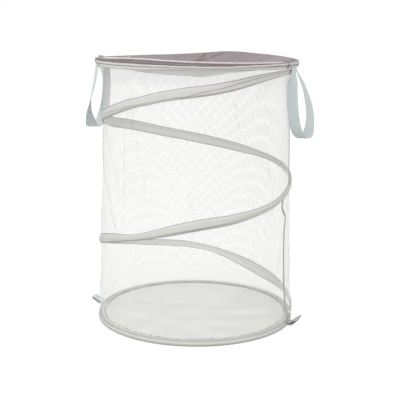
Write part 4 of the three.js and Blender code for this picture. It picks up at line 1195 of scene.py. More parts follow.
@dataclass
class Wall(SubAssembly):
    """The net wall, with the folds of its cloth, and the binding of its upright seam."""

    thickness: float = 0.25 * MM
    reach: tuple = (3 * MM, 502 * MM)  # heights that the net spans, its edges inside the hems
    flat: tuple = (1188 * MM, 499 * MM)  # before it is sewn in
    seam_reach: tuple = (13 * MM, 494 * MM)
    seam_half: float = 2.5 * MM
    seam_thickness: float = 0.8 * MM
    seam_out: float = 0.45 * MM  # from the net to the binding's middle
    seam_stitch: Bodies = Bodies(3 * MM, 2.1 * MM, 0.5 * MM, 0.45 * MM)
    # Folds of the net: azimuth and height in millimetres along each, its width and how far it stands out
    folds: tuple = (
        (((-177.5, 378), (-167.2, 317), (-156.9, 278), (-149.6, 239), (-145, 208), (-142.1, 190)), 1.7, 1.8),
        (((-161.2, 384), (-154.8, 353), (-147, 326), (-142.6, 286), (-141.8, 255)), 1.4, 1.2),
        (((-125.9, 378), (-124.8, 330), (-120.6, 304), (-119.8, 270)), 1.3, 1.0),
        (((-136.6, 378), (-135.8, 326), (-137.6, 298), (-136.4, 262)), 1.3, 0.8),
        (((-134.4, 446), (-133.4, 400)), 1.2, 0.8),
        (((-130.4, 446), (-129.6, 405), (-129.4, 372)), 1.2, 0.8),
        (((-29.5, 190), (-31.5, 150), (-37, 110)), 1.4, 1.0),
        (((-17, 158), (-11, 115), (-17, 86)), 1.5, 1.2),
        (((-165.2, 92), (-180, 40)), 1.4, 1.0),
        (((-141.2, 112), (-150.4, 58)), 1.4, 1.0),
        (((-170, 250), (-176, 190), (-172, 150)), 1.5, 1.2),
        (((150, 330), (142, 260), (146, 210)), 1.5, 1.2),
        (((38, 300), (30, 240), (33, 180)), 1.5, 1.2),
        (((96, 210), (90, 150), (93, 90)), 1.5, 1.0),
        (((64, 420), (60, 350)), 1.5, 1.0),
    )
    # The way of the upright seam: azimuth and height in millimetres
    seam_line: tuple = (
        (-15, 494), (-13.5, 430), (-12.1, 375), (-12.8, 320), (-15, 275), (-20, 262), (-26.6, 252),
        (-28.6, 238), (-26, 226), (-23.2, 216), (-25.2, 195), (-26.1, 166), (-26, 93), (-24.4, 56),
        (-20, 22), (-18, 12),
    )

    def build(self) -> None:
        """Builds the wall's pieces."""
        self.net()
        self.seam()

    def _columns(self, count: int) -> Array:
        """Gives azimuths all round, closer together where the net has folds.

        Args:
            count: How many.

        Returns:
            The azimuths.
        """
        fine = np.linspace(-180, 180, 7201)
        weight = np.full_like(fine, 1.0)
        for low, high in ((-180, -115), (-42, -6)):
            weight += 1.6 * smooth(fine, low - 5, low) * (1 - smooth(fine, high, high + 5))
        run = np.concatenate([[0], np.cumsum((weight[1:] + weight[:-1]) / 2)])
        return np.interp(np.arange(count) / count * run[-1], run, fine)

    def net(self) -> None:
        """Builds the net as a thin closed skin with its folds and their marks."""
        azimuths = self._columns(460)
        heights = np.linspace(*self.reach, 96)
        a, z = np.meshgrid(azimuths, heights, indexing="ij")
        radius = wall_radius(z)
        crease = np.zeros_like(radius)
        free = smooth(z, FOOT_MOUTH, 40 * MM) * (1 - smooth(z, 465 * MM, RIM_MOUTH))
        soft = ripple(a, 41, 2, 9) * 0.9 + ripple(a + z * 60, 42, 5, 18) * 0.55
        radius += soft * 0.4 * MM * free
        for path, width, rise in self.folds:
            line = np.array(path, float)[::-1]
            at = np.interp(z, line[:, 1] * MM, line[:, 0])
            ends = smooth(z, line[0, 1] * MM - 12 * MM, line[0, 1] * MM + 10 * MM)
            ends = ends * (1 - smooth(z, line[-1, 1] * MM - 10 * MM, line[-1, 1] * MM + 12 * MM))
            off = turned_from(a - at, -180) * DEGREE * HOOP_RADIUS / (width * MM)
            ridge = hump(off, 0, 1) * ends
            valley = 0.5 * np.exp(-((off - 2.2) ** 2) / 2) * ends
            radius += rise * MM * (ridge - valley)
            crease = np.maximum(crease, ridge)
        half = self.thickness / 2
        points = np.concatenate([polar(a, radius + half, z), polar(a, radius - half, z)[:, ::-1]], 1)
        around = np.append(azimuths, azimuths[0] + FULL_TURN) * DEGREE * HOOP_RADIUS
        up = np.concatenate([heights, heights[::-1], heights[:1]])
        # The crease mark thickens the net along its folds and paints shade there.
        marks = {"crease": np.concatenate([crease, crease[:, ::-1]], 1)}
        sheet = Sheet(points, grid(around, up), rows_close=True, columns_close=True, marks=marks)
        piece = self.hand_in(sheet.build("net_wall", crease=80), Slot.NET, Body.BASE, ("mesh_wall",))
        self.fold_flat(piece)

    def seam(self) -> None:
        """Builds the wavering binding of the upright seam and the stitches inside it."""
        heights = np.linspace(*self.seam_reach, 220)
        places = catmull(np.array(self.seam_line, float)[::-1], np.linspace(0, 1, 400), True)
        order = np.argsort(places[:, 1])
        azimuth = np.interp(heights, places[order, 1] * MM, places[order, 0])
        middle = polar(azimuth, wall_radius(heights) + self.seam_out, heights)
        tangent = unit(np.gradient(middle, axis=0))
        out = polar(azimuth, 1, 0)
        side = np.cross(tangent, out)
        half = self.seam_half * (1 + 0.15 * np.sin(heights / (7 * MM)))
        outline = rounded([
            [-1, 0], [-0.9, 0.5], [0, 0.75], [0.9, 0.5], [1, 0], [0.9, -0.5], [0, -0.6], [-0.9, -0.5],
        ], 20)
        sections = (
            middle[:, None] + side[:, None] * (outline[None, :, :1] * half[:, None, None])
            + out[:, None] * (outline[None, :, 1:] * self.seam_thickness)
        )
        piece = sweep(sections, False).build("wall_seam_tape")
        binding = self.finishes.pulled_binding
        self.hand_in(piece, Slot.GREIGE, Body.BASE, ("wall_seam_binding",), material=binding)
        self.fold_flat(piece)
        row = (middle - out * 0.4 * MM, -out)
        stitches = self.sew(
            "wall_seam_stitches", [row], self.seam_stitch, Slot.GREIGE, Body.BASE, self.finishes.thread, 5,
        )
        self.fold_flat(stitches)


@dataclass
class Spiral(SubAssembly):
    """The wire spiral and the cloth sleeve that holds it on the net."""

    first_turn: float = 15.0
    last_turn: float = 735.0
    width: float = 20.5 * MM
    narrow_end_share: float = 0.36  # of the width, at the sleeve's two ends
    off_wall: float = 0.65 * MM  # from the net to the sleeve's back
    edge_share: float = 0.86  # of the half width, where its edges are sewn
    channel_rise: float = 2.9 * MM  # of the cloth over the wire
    crease_depth: float = 0.45 * MM
    wire_radius: float = 1 * MM
    bare_end: float = 7.5 * MM  # of the wire that goes on into each cap
    wire_depth: float = 2.15 * MM  # from the sleeve's back to the wire's middle
    stitch: Bodies = Bodies(3.9 * MM, 1.9 * MM, 1.2 * MM, 0.6 * MM, 0.25)
    turn_step: float = 45.0  # between the heights that follow
    # Heights of the sleeve's middle as shares of the way between the hems
    heights: tuple = (
        0.988, 0.979, 0.919, 0.871, 0.802, 0.733, 0.665, 0.611, 0.558,
        0.487, 0.438, 0.36, 0.284, 0.211, 0.175, 0.09, 0.034, 0.0075, 0.0075,
    )
    # How far the cloth's upper and lower edge are pulled up, in millimetres, at turns
    pulled: tuple = (
        (15, 0, 0), (46, -0.6, -0.8), (62, -1.3, -0.6), (70, -0.9, 0), (78, 0.5, 1.3), (86, 2.7, 3.2),
        (94, 4.6, 4.3), (102, 4.4, 5.1), (110, 3, 4.5), (118, 0.9, 2), (126, -1.9, 0.7), (134, -2.6, -1.6),
        (142, -4.7, -4.2), (150, -6, -5.6), (180, -6.2, -6.2), (205, -4.8, -4.8), (214, -2.7, -3),
        (223, -1.3, -2.2), (250, -1.9, -2.3), (259, -1.3, -1.1), (277, -0.2, -0.8), (295, -1.8, 0.2),
        (304, -2, 1.2), (313, -2.9, 3.8), (322, -2.9, 5.5), (331, -2.2, 6), (345, -2, 5.5), (375, -3, 4.5),
        (391, -6.4, 2.4), (399, -6.6, 1.2), (407, -5.6, 1.6), (415, -4.5, 1.3), (423, -3.4, -0.5),
        (431, -3.1, -1.6), (439, -1.5, -1.6), (447, -0.2, -0.8), (455, 0, -0.3), (463, -0.6, 0),
        (471, -2.9, 1), (479, -4.5, 2.3), (487, -5, 4.2), (495, -2.3, 5.1), (503, 1.6, 5.1),
        (511, 3.5, 5.1), (519, 4, 5.7), (540, 4, 5.7), (560, 3.9, 5.5), (569, 2.5, 5.5), (587, -2, 5.4),
        (596, -4.4, 2.4), (605, -5.5, 1.4), (614, -6, -0.2), (623, -6.2, 0.1), (632, -6.1, 0.8),
        (641, -4.6, 2.2), (650, -3, 0.6), (659, -0.3, -1.4), (668, 1.8, -2.4), (677, 1.7, -3.3),
        (686, 2.2, -2), (695, 2.8, -0.1), (710, 1.5, 0), (735, 0, 0),
    )
    # The lengthwise crease: turn, place across the cloth and strength
    crease_line: tuple = (
        (15, 0.5, 1), (60, 0.25, 1), (75, 0, 1), (88, -0.23, 1), (97, -0.72, 0.7), (105, -0.6, 0),
        (120, -0.5, 0.2), (130, -0.45, 0.9), (150, -0.2, 0.9), (170, 0, 0.6), (200, -0.3, 0.5),
        (300, -0.3, 0.5), (375, 0.2, 0.6), (400, 0, 0.8), (425, -0.3, 0.8), (448, -0.64, 1.1),
        (465, -0.5, 0.6), (487, -0.3, 0.5), (520, -0.2, 0.6), (735, -0.3, 0.5),
    )

    def build(self) -> None:
        """Builds the spiral's pieces."""
        self.sleeve()
        self.stitches()
        self.wire()
        self.keep_nodes(Slot.CAP, "spiral_cap_top", "spiral_cap_bottom")

    def middle(self, turn: Array) -> tuple:
        """Gives where the sleeve runs.

        Args:
            turn: Turns down the spiral.

        Returns:
            The heights of its middle, and how much wider each half is there.
        """
        table = np.array(self.heights)[:, None]
        share = catmull(table, turn / self.turn_step / (len(table) - 1), False)[:, 0]
        top, bottom = (read_table(turn, self.pulled, column) * MM for column in (1, 2))
        return FOOT_MOUTH + (RIM_MOUTH - FOOT_MOUTH) * share + (top + bottom) / 2, (top - bottom) / 2

    def place(self, turn: Array, across: Array, lift: Array) -> Array:
        """Gives points of the sleeve on the wall.

        Args:
            turn: Turns, one for each row.
            across: Offsets up the wall from the sleeve's middle, by row and column.
            lift: Distances from the net, by row and column.

        Returns:
            The points by row and column.
        """
        middle, more = self.middle(turn)
        end = np.minimum(turn - self.first_turn, self.last_turn - turn)
        least = self.narrow_end_share
        wanted = (self.width / 2 + more) * (least + (1 - least) * smooth(end, 0, 60))
        core = self.wire_depth
        up = np.maximum(np.minimum(wanted, RIM_MOUTH - GAP - middle), core)
        down = np.maximum(np.minimum(wanted, middle - FOOT_MOUTH - GAP), core)
        side = np.where(across > 0, up[:, None], down[:, None])
        reach = np.abs(across)
        beyond = np.maximum(reach - core, 0) / (self.width / 2 - core)
        reach = np.minimum(reach, core) + (side - core) * beyond
        height = middle[:, None] + np.sign(across) * reach
        return polar(-turn[:, None], wall_radius(height) + self.off_wall + lift, height)

    def _front(self, t: Array, s: Array) -> tuple:
        """Gives the form of the sleeve's outer face.

        Args:
            t: Turns of its points.
            s: Places across the cloth, from -1 at its lower edge to 1 at its upper.

        Returns:
            How far each point stands off the back, and its crease mark, the painted shade in its crease and
            along its sewn edges.
        """
        slow = ripple(t / 2, 51, 3, 12)
        shift = 0.1 * slow + 0.05 * ripple(t / 2, 52, 12, 30)
        pull = ripple(t / 2, 53, 150, 260, 9)
        centre = read_table(t, self.crease_line) + 0.3 * shift
        valley = hump(s, centre, 0.09) * read_table(t, self.crease_line, 2)
        edges = hump(np.abs(s), self.edge_share, 0.07)
        lift = 0.75 * MM + self.channel_rise * np.exp(-(((s - 0.03 - 0.2 * shift) / 0.7) ** 8))
        lift += 0.85 * MM * hump(s, np.minimum(centre, -0.36) - 0.26, 0.2) * (0.65 + 0.5 * slow)
        lift -= self.crease_depth * valley * (lift > 1.1 * MM)
        lift += 0.55 * MM * hump(s, 0.72 - 0.5 * shift, 0.16) * (0.6 - 0.6 * slow)
        lift += 0.3 * MM * pull * (edges + 0.25) * (np.abs(s) < 0.99)
        lift -= 0.35 * MM * edges
        lift = np.maximum(lift, 0.45 * MM)
        lift[:, [0, -1]] = 0.3 * MM
        # Painted shade in the lengthwise crease and along the sewn edges.
        crease = valley * 0.95 + edges * 0.42 + 0.2 * np.maximum(-pull, 0) * edges
        return lift, np.clip(crease, 0, 1)

    def sleeve(self) -> None:
        """Builds the sleeve with its channel over the wire, its crease and its pulled edges."""
        turns = np.arange(self.first_turn, self.last_turn + 0.01, 0.6)
        share = np.concatenate([[-1, -0.985], np.linspace(-0.95, 0.95, 27), [0.985, 1]])
        t, s = np.meshgrid(turns, share, indexing="ij")
        lift, crease = self._front(t, s)
        wave = 1 + 0.012 * ripple(t / 2, 54, 60, 140) * (np.abs(s) > 0.9)
        front = self.place(turns, s * self.width / 2 * wave, lift)
        back_share = np.linspace(0.98, -0.98, 29)
        back_t, back_s = np.meshgrid(turns, back_share, indexing="ij")
        back = self.place(turns, back_s * self.width / 2, np.zeros_like(back_s))
        # Painted shade on the back's inner face: dark lines along its sewn edges and along its middle.
        inside = hump(np.abs(back_s), 0.9, 0.17) * (0.95 + 0.4 * ripple(back_t / 2, 55, 150, 260, 9))
        inside += 0.6 * hump(back_s, 0.34 - 0.1 * ripple(back_t / 2, 56, 3, 9), 0.12)
        inside = np.clip(inside, 0, 1.4)
        sheet = sweep(np.concatenate([front, back], 1), False)
        columns = np.concatenate([share, back_share, share[:1]]) * self.width / 2
        sheet.cloth = grid(turns * DEGREE * HOOP_RADIUS, columns)
        # The reverse mark paints the sleeve's back nearly white, a painted light as if lit through the net.
        sheet.marks = {
            "crease": np.concatenate([crease, inside], 1),
            "reverse": np.concatenate([np.zeros_like(crease), np.full_like(inside, 0.9)], 1),
        }
        piece = sheet.build("spiral_sleeve_cloth", crease=60)
        self.hand_in(piece, Slot.GREIGE, Body.BASE, ("spiral_sleeve",))
        self.fold_flat(piece)

    def stitches(self) -> None:
        """Sews the sleeve's edges, seen on its outer face and inside the net."""
        fine = np.arange(self.first_turn + 1, self.last_turn - 1, 0.5)
        out = polar(-fine, 1, 0)
        lines = []
        for side in (-self.edge_share, self.edge_share):
            row = np.full((len(fine), 1), side * self.width / 2)
            for lift, facing in ((0.95 * MM, out), (-1.0 * MM, -out)):
                lines.append((self.place(fine, row, np.full_like(row, lift))[:, 0], facing))
        stitches = self.sew(
            "spiral_sleeve_stitches", lines, self.stitch, Slot.GREIGE, Body.BASE, self.finishes.thread, 6,
        )
        self.fold_flat(stitches)

    def wire(self) -> None:
        """Builds the round wire inside the sleeve, with its bare ends in their caps."""
        turns = np.arange(self.first_turn, self.last_turn + 0.01, 2.5)
        row = np.zeros((len(turns), 1))
        middle = self.place(turns, row, row + self.wire_depth)[:, 0]
        ends = []
        for turn, side in ((self.first_turn, 1), (self.last_turn, -1)):
            facing = -turn + side * 3.75
            ends.append(polar(facing + side * 90, 1, 0) * self.bare_end)
        middle = np.vstack([middle[0] + ends[0], middle, middle[-1] + ends[1]])
        tangent = unit(np.gradient(middle, axis=0))
        out = unit(middle * [1, 1, 0])
        side = np.cross(tangent, out)
        angle = np.linspace(0, 2 * math.pi, 10, endpoint=False)
        circle = side[:, None] * np.cos(angle)[None, :, None] + out[:, None] * np.sin(angle)[None, :, None]
        sections = middle[:, None] + self.wire_radius * circle
        piece = sweep(sections, False).build("spiral_wire_round")
        self.hand_in(piece, Slot.WIRE, Body.BASE, ("spiral_wire",))
        self.fold_flat(piece)


@dataclass
class Rim(SubAssembly):
    """The upper hem and the zip's tapes and coils, whose lower halves it carries."""

    tape_bottom: float = 500.5 * MM
    tape_top: float = 505.9 * MM
    tape_radius: float = 192.55 * MM
    tape_ribs: int = 4
    rib_out: float = 0.26 * MM
    coil_radius: float = 193.6 * MM
    coil_height: float = 504.9 * MM
    coil_follows: float = 505.5 * MM  # the height whose wave the lower coil follows
    coil_loop: Bodies = Bodies(1.35 * MM, 1.0 * MM, 1.1 * MM, 1.3 * MM, 0.04)
    stitch_out: float = 1.8 * MM
    stitch_rise: float = 1.7 * MM
    roll_top: float = 504.8 * MM  # of the outline that follows
    # The hem in section, in millimetres: distance from the axis and height
    hem_section: tuple = (
        (189.65, 494.5), (190.6, 494.6), (191.3, 495.2), (192.1, 496.4), (192.3, 497.8), (192.0, 499.3),
        (192.1, 500.5), (193.2, 501.2), (194.1, 502.3), (194.25, 503.6), (193.7, 504.8), (192.6, 504.6),
        (191.4, 504.7), (189, 505), (186.6, 504.3), (185.8, 501.8), (186.6, 499.4), (187.4, 497.2),
        (187.8, 495.2), (188.35, 494.5),
    )
    # Where the hem's roll ends over the lower tape: azimuth and height in millimetres
    roll_tops: tuple = (
        (-200, 505.6), (-170, 505.7), (-145, 505.3), (-118, 504.6), (-95, 503.3), (-75, 502.9),
        (-60, 504.4), (-48, 505.2), (-35, 505.5), (-10, 505.6), (20, 505.4),
    )
    tuck: float = 2.3 * MM  # how far the hem's mouth is drawn up at the right front
    corner: float = -31.4  # azimuth of the painted shadow in the hem beside the right handle's strand

    def build(self) -> None:
        """Builds the rim's pieces."""
        self.hem()
        self.tape("zip_tape_lower", Body.RIM, self.tape_bottom, self.tape_top, self.tape_ribs)
        self.coil("zip_coil_lower", Body.RIM, self.coil_height, self.coil_follows, 2)
        self.keep_nodes(Slot.WIRE, "top_hoop", "top_hoop_ferrule")
        self.keep_nodes(Slot.SLIDER, "zip_stop_left", "zip_stop_right", "zip_slider", "zip_pull")

    def _hem_sections(self, azimuths: Array, outline: Array) -> Array:
        """Gives the hem's outline at each azimuth.

        Args:
            azimuths: The azimuths.
            outline: The outline where nothing pulls on it.

        Returns:
            Distances from the axis and heights, by azimuth and point of the outline.
        """
        turned = turned_from(azimuths, RIM_START)
        up = outline[:, 1]
        pull = ripple(azimuths, 61, 80, 150) * 0.3 + ripple(azimuths, 62, 8, 26) * 0.3
        section = np.repeat(outline[None], len(azimuths), 0)
        section[..., 1] += pull[:, None] * 0.35 * MM * (1 - smooth(up, 495 * MM, 498.5 * MM))
        section[..., 0] += 0.25 * MM * pull[:, None] * (outline[:, 0] > 190 * MM)
        roll = smooth(up, 500.5 * MM, 502.5 * MM) * (outline[:, 0] > 192.5 * MM)
        top = read_table(turned, self.roll_tops) * MM + 0.25 * MM * ripple(azimuths, 64, 20, 70)
        section[..., 1] += (top[:, None] - self.roll_top) * roll
        flat = 1 - (smooth(turned, -201, -192) * (1 - smooth(turned, 17, 20)))
        section[..., 0] -= (flat[:, None] * np.maximum(section[..., 0] - 192.2 * MM, 0)) * roll
        tuck = self.tuck * smooth(turned, -128, -96) * (1 - 0.25 * smooth(turned, -80, -55))
        tuck *= 1 - smooth(turned, -52, -40)
        section[..., 1] += tuck[:, None] * (1 - smooth(up, 494.6 * MM, 499.5 * MM))
        return section

    def hem(self) -> None:
        """Builds the folded hem round the upper hoop, pulled along its seam."""
        azimuths = all_round(720)
        outline = rounded(self.hem_section, 110) * MM
        radius, up = outline[:, 0], outline[:, 1]
        sheet = ring(azimuths, self._hem_sections(azimuths, outline))
        outside = radius > 189.2 * MM
        # Painted shade in the valley between the hem's rolls, at its mouth and beside the right handle's
        # strand; the -0.5 paints the whole hem lighter, a painted light on this upward-facing hem.
        valley = 0.16 * hump(up, 500.0 * MM, 0.9 * MM) * (radius > 191 * MM)
        mouth_shade = 0.5 * hump(up, 494.8 * MM, 0.7 * MM) * outside
        corner = hump(turned_from(azimuths, RIM_START), self.corner, 1.3)[:, None]
        shadow = 1.7 * corner * outside * (up < 504 * MM)
        sheet.marks = {"crease": np.maximum(valley + mouth_shade - 0.5, shadow)}
        self.hand_in(sheet.build("rim_hem_cloth"), Slot.GREIGE, Body.RIM, ("top_hem",))
        places = np.linspace(0, FULL_TURN, 1441)
        line = polar(places, HOOP_RADIUS + self.stitch_out, RIM_MOUTH + self.stitch_rise)
        self.sew(
            "rim_hem_stitches", [(line, polar(places, 1, 0))], HEM_STITCH, Slot.GREIGE, Body.RIM,
            self.finishes.thread, 4,
        )

    def tape(self, name: str, body: Body | None, bottom: float, top: float, ribs: int) -> Object:
        """Builds a zip tape as a ribbed band along the zip.

        Args:
            name: The CAD node that the tape stands for.
            body: The body that it rides on, or None to leave it unattached.
            bottom: Its lower edge.
            top: Its upper edge.
            ribs: How many ribs run along it.

        Returns:
            The tape.
        """
        azimuths = np.arange(ZIP_FIRST, ZIP_LAST + 0.01, 0.75)
        share = np.linspace(0, 1, ribs * 8 + 1)
        rib = 0.5 - 0.5 * np.cos(share * ribs * 2 * math.pi)
        front = self.tape_radius + 0.42 * MM + self.rib_out * rib
        outside = np.stack([front, bottom + (top - bottom) * share], -1)
        inside = np.array([[self.tape_radius, top], [self.tape_radius, bottom]])
        outline = np.vstack([outside, inside])
        section = np.repeat(outline[None], len(azimuths), 0)
        follow = smooth(outline[:, 1], self.tape_bottom, self.tape_bottom + 4 * MM)
        section[..., 1] += rim_wave(azimuths)[:, None] * follow
        section[..., 0] += 0.12 * MM * ripple(azimuths, 63, 12, 40)[:, None]
        sheet = ring(azimuths, section, closed=False)
        # Painted shade in the grooves between the ribs and near the zip's tucked ends; the -0.3 makes the
        # whole tape lighter.
        rib_groove_shade = np.concatenate([0.12 * (1 - rib) ** 2, [0, 0]])
        sheet.marks = {"crease": rib_groove_shade - 0.3 + 0.75 * end_shade(azimuths)[:, None]}
        return self.hand_in(sheet.build(name + "_cloth"), Slot.MAUVE, body, (name,))

    def coil(self, name: str, body: Body | None, height: float, way: float, seed: int) -> Object:
        """Builds a zip coil: a row of small nylon loops along the tape's edge.

        Args:
            name: The CAD node that the coil stands for.
            body: The body that it rides on, or None to leave it unattached.
            height: The middle of its loops.
            way: The height whose wave the coil follows.
            seed: Chooses the loops' unevenness.

        Returns:
            The coil.
        """
        azimuths = np.arange(ZIP_FIRST + 1.5, ZIP_LAST - 1.5, 0.5)
        follow = float(smooth(way, self.tape_bottom, self.tape_bottom + 4 * MM))
        line = polar(azimuths, self.coil_radius, height + rim_wave(azimuths) * follow)
        nylon = self.finishes.by_slot[Slot.ZIP]
        row = (line, polar(azimuths, 1, 0))
        piece = self.runs.lay(name + "_loops", [row], self.coil_loop, nylon, seed)
        return self.hand_in(piece, Slot.ZIP, body, (name,))


@dataclass
class Lid(SubAssembly):
    """The lid: its sagging cloth, the part over the back of the rim, the piping and the upper zip."""

    rim: Rim | None = None
    radius: float = 191.3 * MM
    flat_across: float = 402 * MM
    sag: float = 34 * MM
    sag_power: float = 2.2
    sag_lean: float = 0.12
    thickness: float = 0.6 * MM
    piping_radius: float = 1.15 * MM
    piping_ring: float = 192.05 * MM
    tape_bottom: float = 506.8 * MM
    tape_top: float = 509.5 * MM
    tape_ribs: int = 2
    coil_height: float = 507.8 * MM
    skirt_ends: tuple = (19.35, 160.65)
    skirt_stitch: Bodies = Bodies(3 * MM, 2.2 * MM, 0.5 * MM, 0.5 * MM)
    # The part over the back of the rim in section, in millimetres: distance from the axis and height
    skirt_section: tuple = (
        (189.6, 510.2), (190.6, 511.2), (192.2, 511.5), (193.5, 510.9), (194.1, 509.4), (194.05, 506),
        (194.0, 503), (194.05, 500.6), (193.45, 500.6), (193.4, 503), (193.4, 506), (193.4, 509.2),
        (192.9, 510.2), (192.0, 510.7), (190.8, 510.5),
    )
    back_rise: float = 4 * MM
    # How far the edge stands up behind the fold line, as shares of back_rise, at azimuths
    back_shares: tuple = (
        (15, 0), (24, -0.05), (36, -0.1), (44, 0.08), (53, 0.38), (60, 0.72), (67, 0.88), (74, 0.75),
        (88, -0.2), (104, -0.9), (124, -1.1), (140, -0.6), (152, -0.05), (165, 0),
    )
    # Broad hollows of the sagging cloth: azimuth, spread and depth
    hollows: tuple = (
        (97.5, 9, 1), (-82.5, 12, 0.5), (67.5, 9, 0.8), (-120, 12, -0.7), (-37.5, 12, -0.6),
        (150, 14, 0.5), (-165, 12, 0.5),
    )
    hollow_depth: float = 4 * MM
    # Sharp folds: azimuth and share of the radius along each, its width and depth in millimetres
    folds: tuple = (
        (((84.5, 1.0), (85.8, 0.9), (90, 0.82), (97, 0.775), (104, 0.76), (112, 0.78)), 3.0, 2.4),
        (((72, 0.965), (77.2, 0.887), (84, 0.8), (90, 0.76), (96, 0.735)), 2.8, 2.2),
        (((100, 0.72), (120, 0.66), (140, 0.68)), 4.0, 1.4),
        (((150, 0.96), (162, 0.9), (176, 0.9)), 3.2, 2.4),
        (((35, 0.9), (45, 0.8), (58, 0.76)), 3.4, 1.5),
        (((-70, 0.93), (-55, 0.7), (-20, 0.45)), 7.0, 1.6),
        (((-172, 0.9), (-160, 0.55), (140, 0.2)), 7.0, 1.5),
        (((15, 0.85), (40, 0.5), (75, 0.42)), 6.0, 1.3),
    )
    deep_fold: float = 2.0  # depth over which a fold gets a painted shade line

    def build(self) -> None:
        """Builds the lid's pieces."""
        cloth = self.cloth()
        skirt = self.skirt()
        piping = self.piping()
        tape = self.rim.tape("zip_tape_upper", None, self.tape_bottom, self.tape_top, self.tape_ribs)
        coil = self.rim.coil("zip_coil_upper", None, self.coil_height, self.coil_height, 7)
        for piece in (tape, coil):
            self.bend_at_fold(piece)

    def _back_rise(self, azimuth: Array) -> Array:
        """Gives how far the cloth's edge stands over its level place behind the fold line.

        Args:
            azimuth: The azimuths.

        Returns:
            The distance at each azimuth.
        """
        table = catmull(np.array(self.back_shares, float), np.linspace(0, 1, 200), True)
        turned = turned_from(azimuth, -90)
        first, last = self.back_shares[0][0], self.back_shares[-1][0]
        inside = (turned > first) & (turned < last)
        return np.where(inside, read_table(turned, table), 0) * self.back_rise

    def _soft_waves(self, x: Array, y: Array) -> Array:
        """Gives the sum of the cloth's low waves, each between -1 and 1.

        Args:
            x: Places along X, as shares of its radius.
            y: Places along Y.

        Returns:
            The sum at each place.
        """
        draw = np.random.default_rng(72)
        soft = np.zeros_like(x)
        for _ in range(10):
            angle = draw.uniform(0, math.pi)
            phase = draw.uniform(0, 2 * math.pi)
            count = draw.uniform(5, 15)
            way = x * math.cos(angle) + y * math.sin(angle)
            soft += np.cos(count * way + phase + np.sin(3 * x + 2 * y + phase))
        return soft

    def _fold_at(self, path: tuple, width: float, x: Array, y: Array, share: Array) -> tuple:
        """Gives a sharp fold of the cloth.

        Args:
            path: Azimuth and share of the radius along it.
            width: Its width in millimetres.
            x: Places of the cloth's points, in shares of its radius.
            y: The same along Y.
            share: Their distances from the middle.

        Returns:
            The narrow fold and the soft shoulder round it, each from 0 to 1.
        """
        line = catmull(np.array(path, float), np.linspace(0, 1, 60), True)
        px, py = (line[:, 1] * turn(line[:, 0] * DEGREE) for turn in (np.cos, np.sin))
        nearest_square = np.full(share.shape, np.inf)
        nearest = np.zeros(share.shape)
        for k in range(len(px)):
            square = (x - px[k]) ** 2 + (y - py[k]) ** 2
            closer = square < nearest_square
            nearest_square = np.where(closer, square, nearest_square)
            nearest = np.where(closer, k / (len(px) - 1), nearest)
        gap = np.sqrt(nearest_square) * self.radius / (width * MM)
        strength = np.maximum(smooth(nearest, 0, 0.06), 0.35) * (1 - smooth(nearest, 0.75, 1))
        fold = hump(gap, 0, 1) * strength * (1 - smooth(share, 0.985, 1.0))
        shoulder = hump(gap, 0, 2.6) * strength * (1 - smooth(share, 0.96, 1.0))
        return fold, shoulder

    def height(self, azimuth: Array, share: Array) -> tuple:
        """Gives the cloth's height and its crease mark, which paints shade in its deep folds and along its
        edges.

        Args:
            azimuth: Azimuths of its points.
            share: Their distances from the middle as shares of its radius.

        Returns:
            The heights and the marks.
        """
        dish = 1 - share**self.sag_power
        lean = 1 - self.sag_lean * share * np.cos(azimuth * DEGREE)
        broad = np.zeros_like(share)
        for at, spread, depth in self.hollows:
            broad += depth * hump(turned_from(azimuth - at, -180), 0, spread)
        height = LID_EDGE_HEIGHT - self.sag * dish * lean
        height -= self.hollow_depth * broad * np.sin(share * math.pi)
        height += self._back_rise(azimuth) * share**3 + rim_wave(azimuth) * share**4
        near_edge = hump(share, 0.93, 0.09) * (1 - smooth(share, 0.97, 1))
        height += 0.8 * MM * ripple(azimuth, 71, 22, 60, 9) * near_edge
        x, y = share * np.cos(azimuth * DEGREE), share * np.sin(azimuth * DEGREE)
        height += 0.27 * MM * self._soft_waves(x, y) * (1 - smooth(share, 0.86, 1.0))
        # The crease mark paints shade: a dark line along the deep folds, along the front edge where the
        # cloth dips behind the piping, and near the zip's tucked ends.
        crease = np.zeros_like(share)
        for path, width, depth in self.folds:
            fold, shoulder = self._fold_at(path, width, x, y, share)
            height += depth * MM * (0.7 * shoulder - 1.2 * fold)
            dark = 1.0 if depth > self.deep_fold else 0.15
            crease = np.maximum(crease, 1.3 * fold * smooth(share, 0.5, 0.78) * dark)
        front = 1 - smooth(np.abs(turned_from(azimuth + 90, -180)), 70, 100)
        crease = np.maximum(crease, 0.6 * smooth(share, 0.955, 0.985) * front)
        beside = end_shade(azimuth) * (np.sin(azimuth * DEGREE) < 0.2)
        crease = np.maximum(crease, 1.3 * smooth(share, 0.84, 0.93) * beside)
        return height, crease

    def cloth(self) -> Object:
        """Builds the lid's cloth in one piece and bakes its placement into its mesh."""
        rings, count = 70, 300
        share = np.linspace(0, 1, rings + 1)[1:] ** 0.85
        s, a = np.meshgrid(share, all_round(count), indexing="ij")
        height, crease = self.height(a, s)
        top = polar(a, self.radius * s, height + self.thickness / 2)
        under = polar(a, self.radius * s, height - self.thickness / 2)
        marks = {
            "crease": np.concatenate([crease * 0.8, crease[::-1] * 0.4]),
            "reverse": np.concatenate([np.zeros_like(crease), np.full_like(crease, 0.92)]),
        }
        piece = disc(np.concatenate([top, under[::-1]]), marks).build("lid_cloth", crease=80)
        self.hand_in(piece, Slot.MAUVE, None, ("lid_panel", "lid_back_panel"))
        self.bend_at_fold(piece)
        return piece

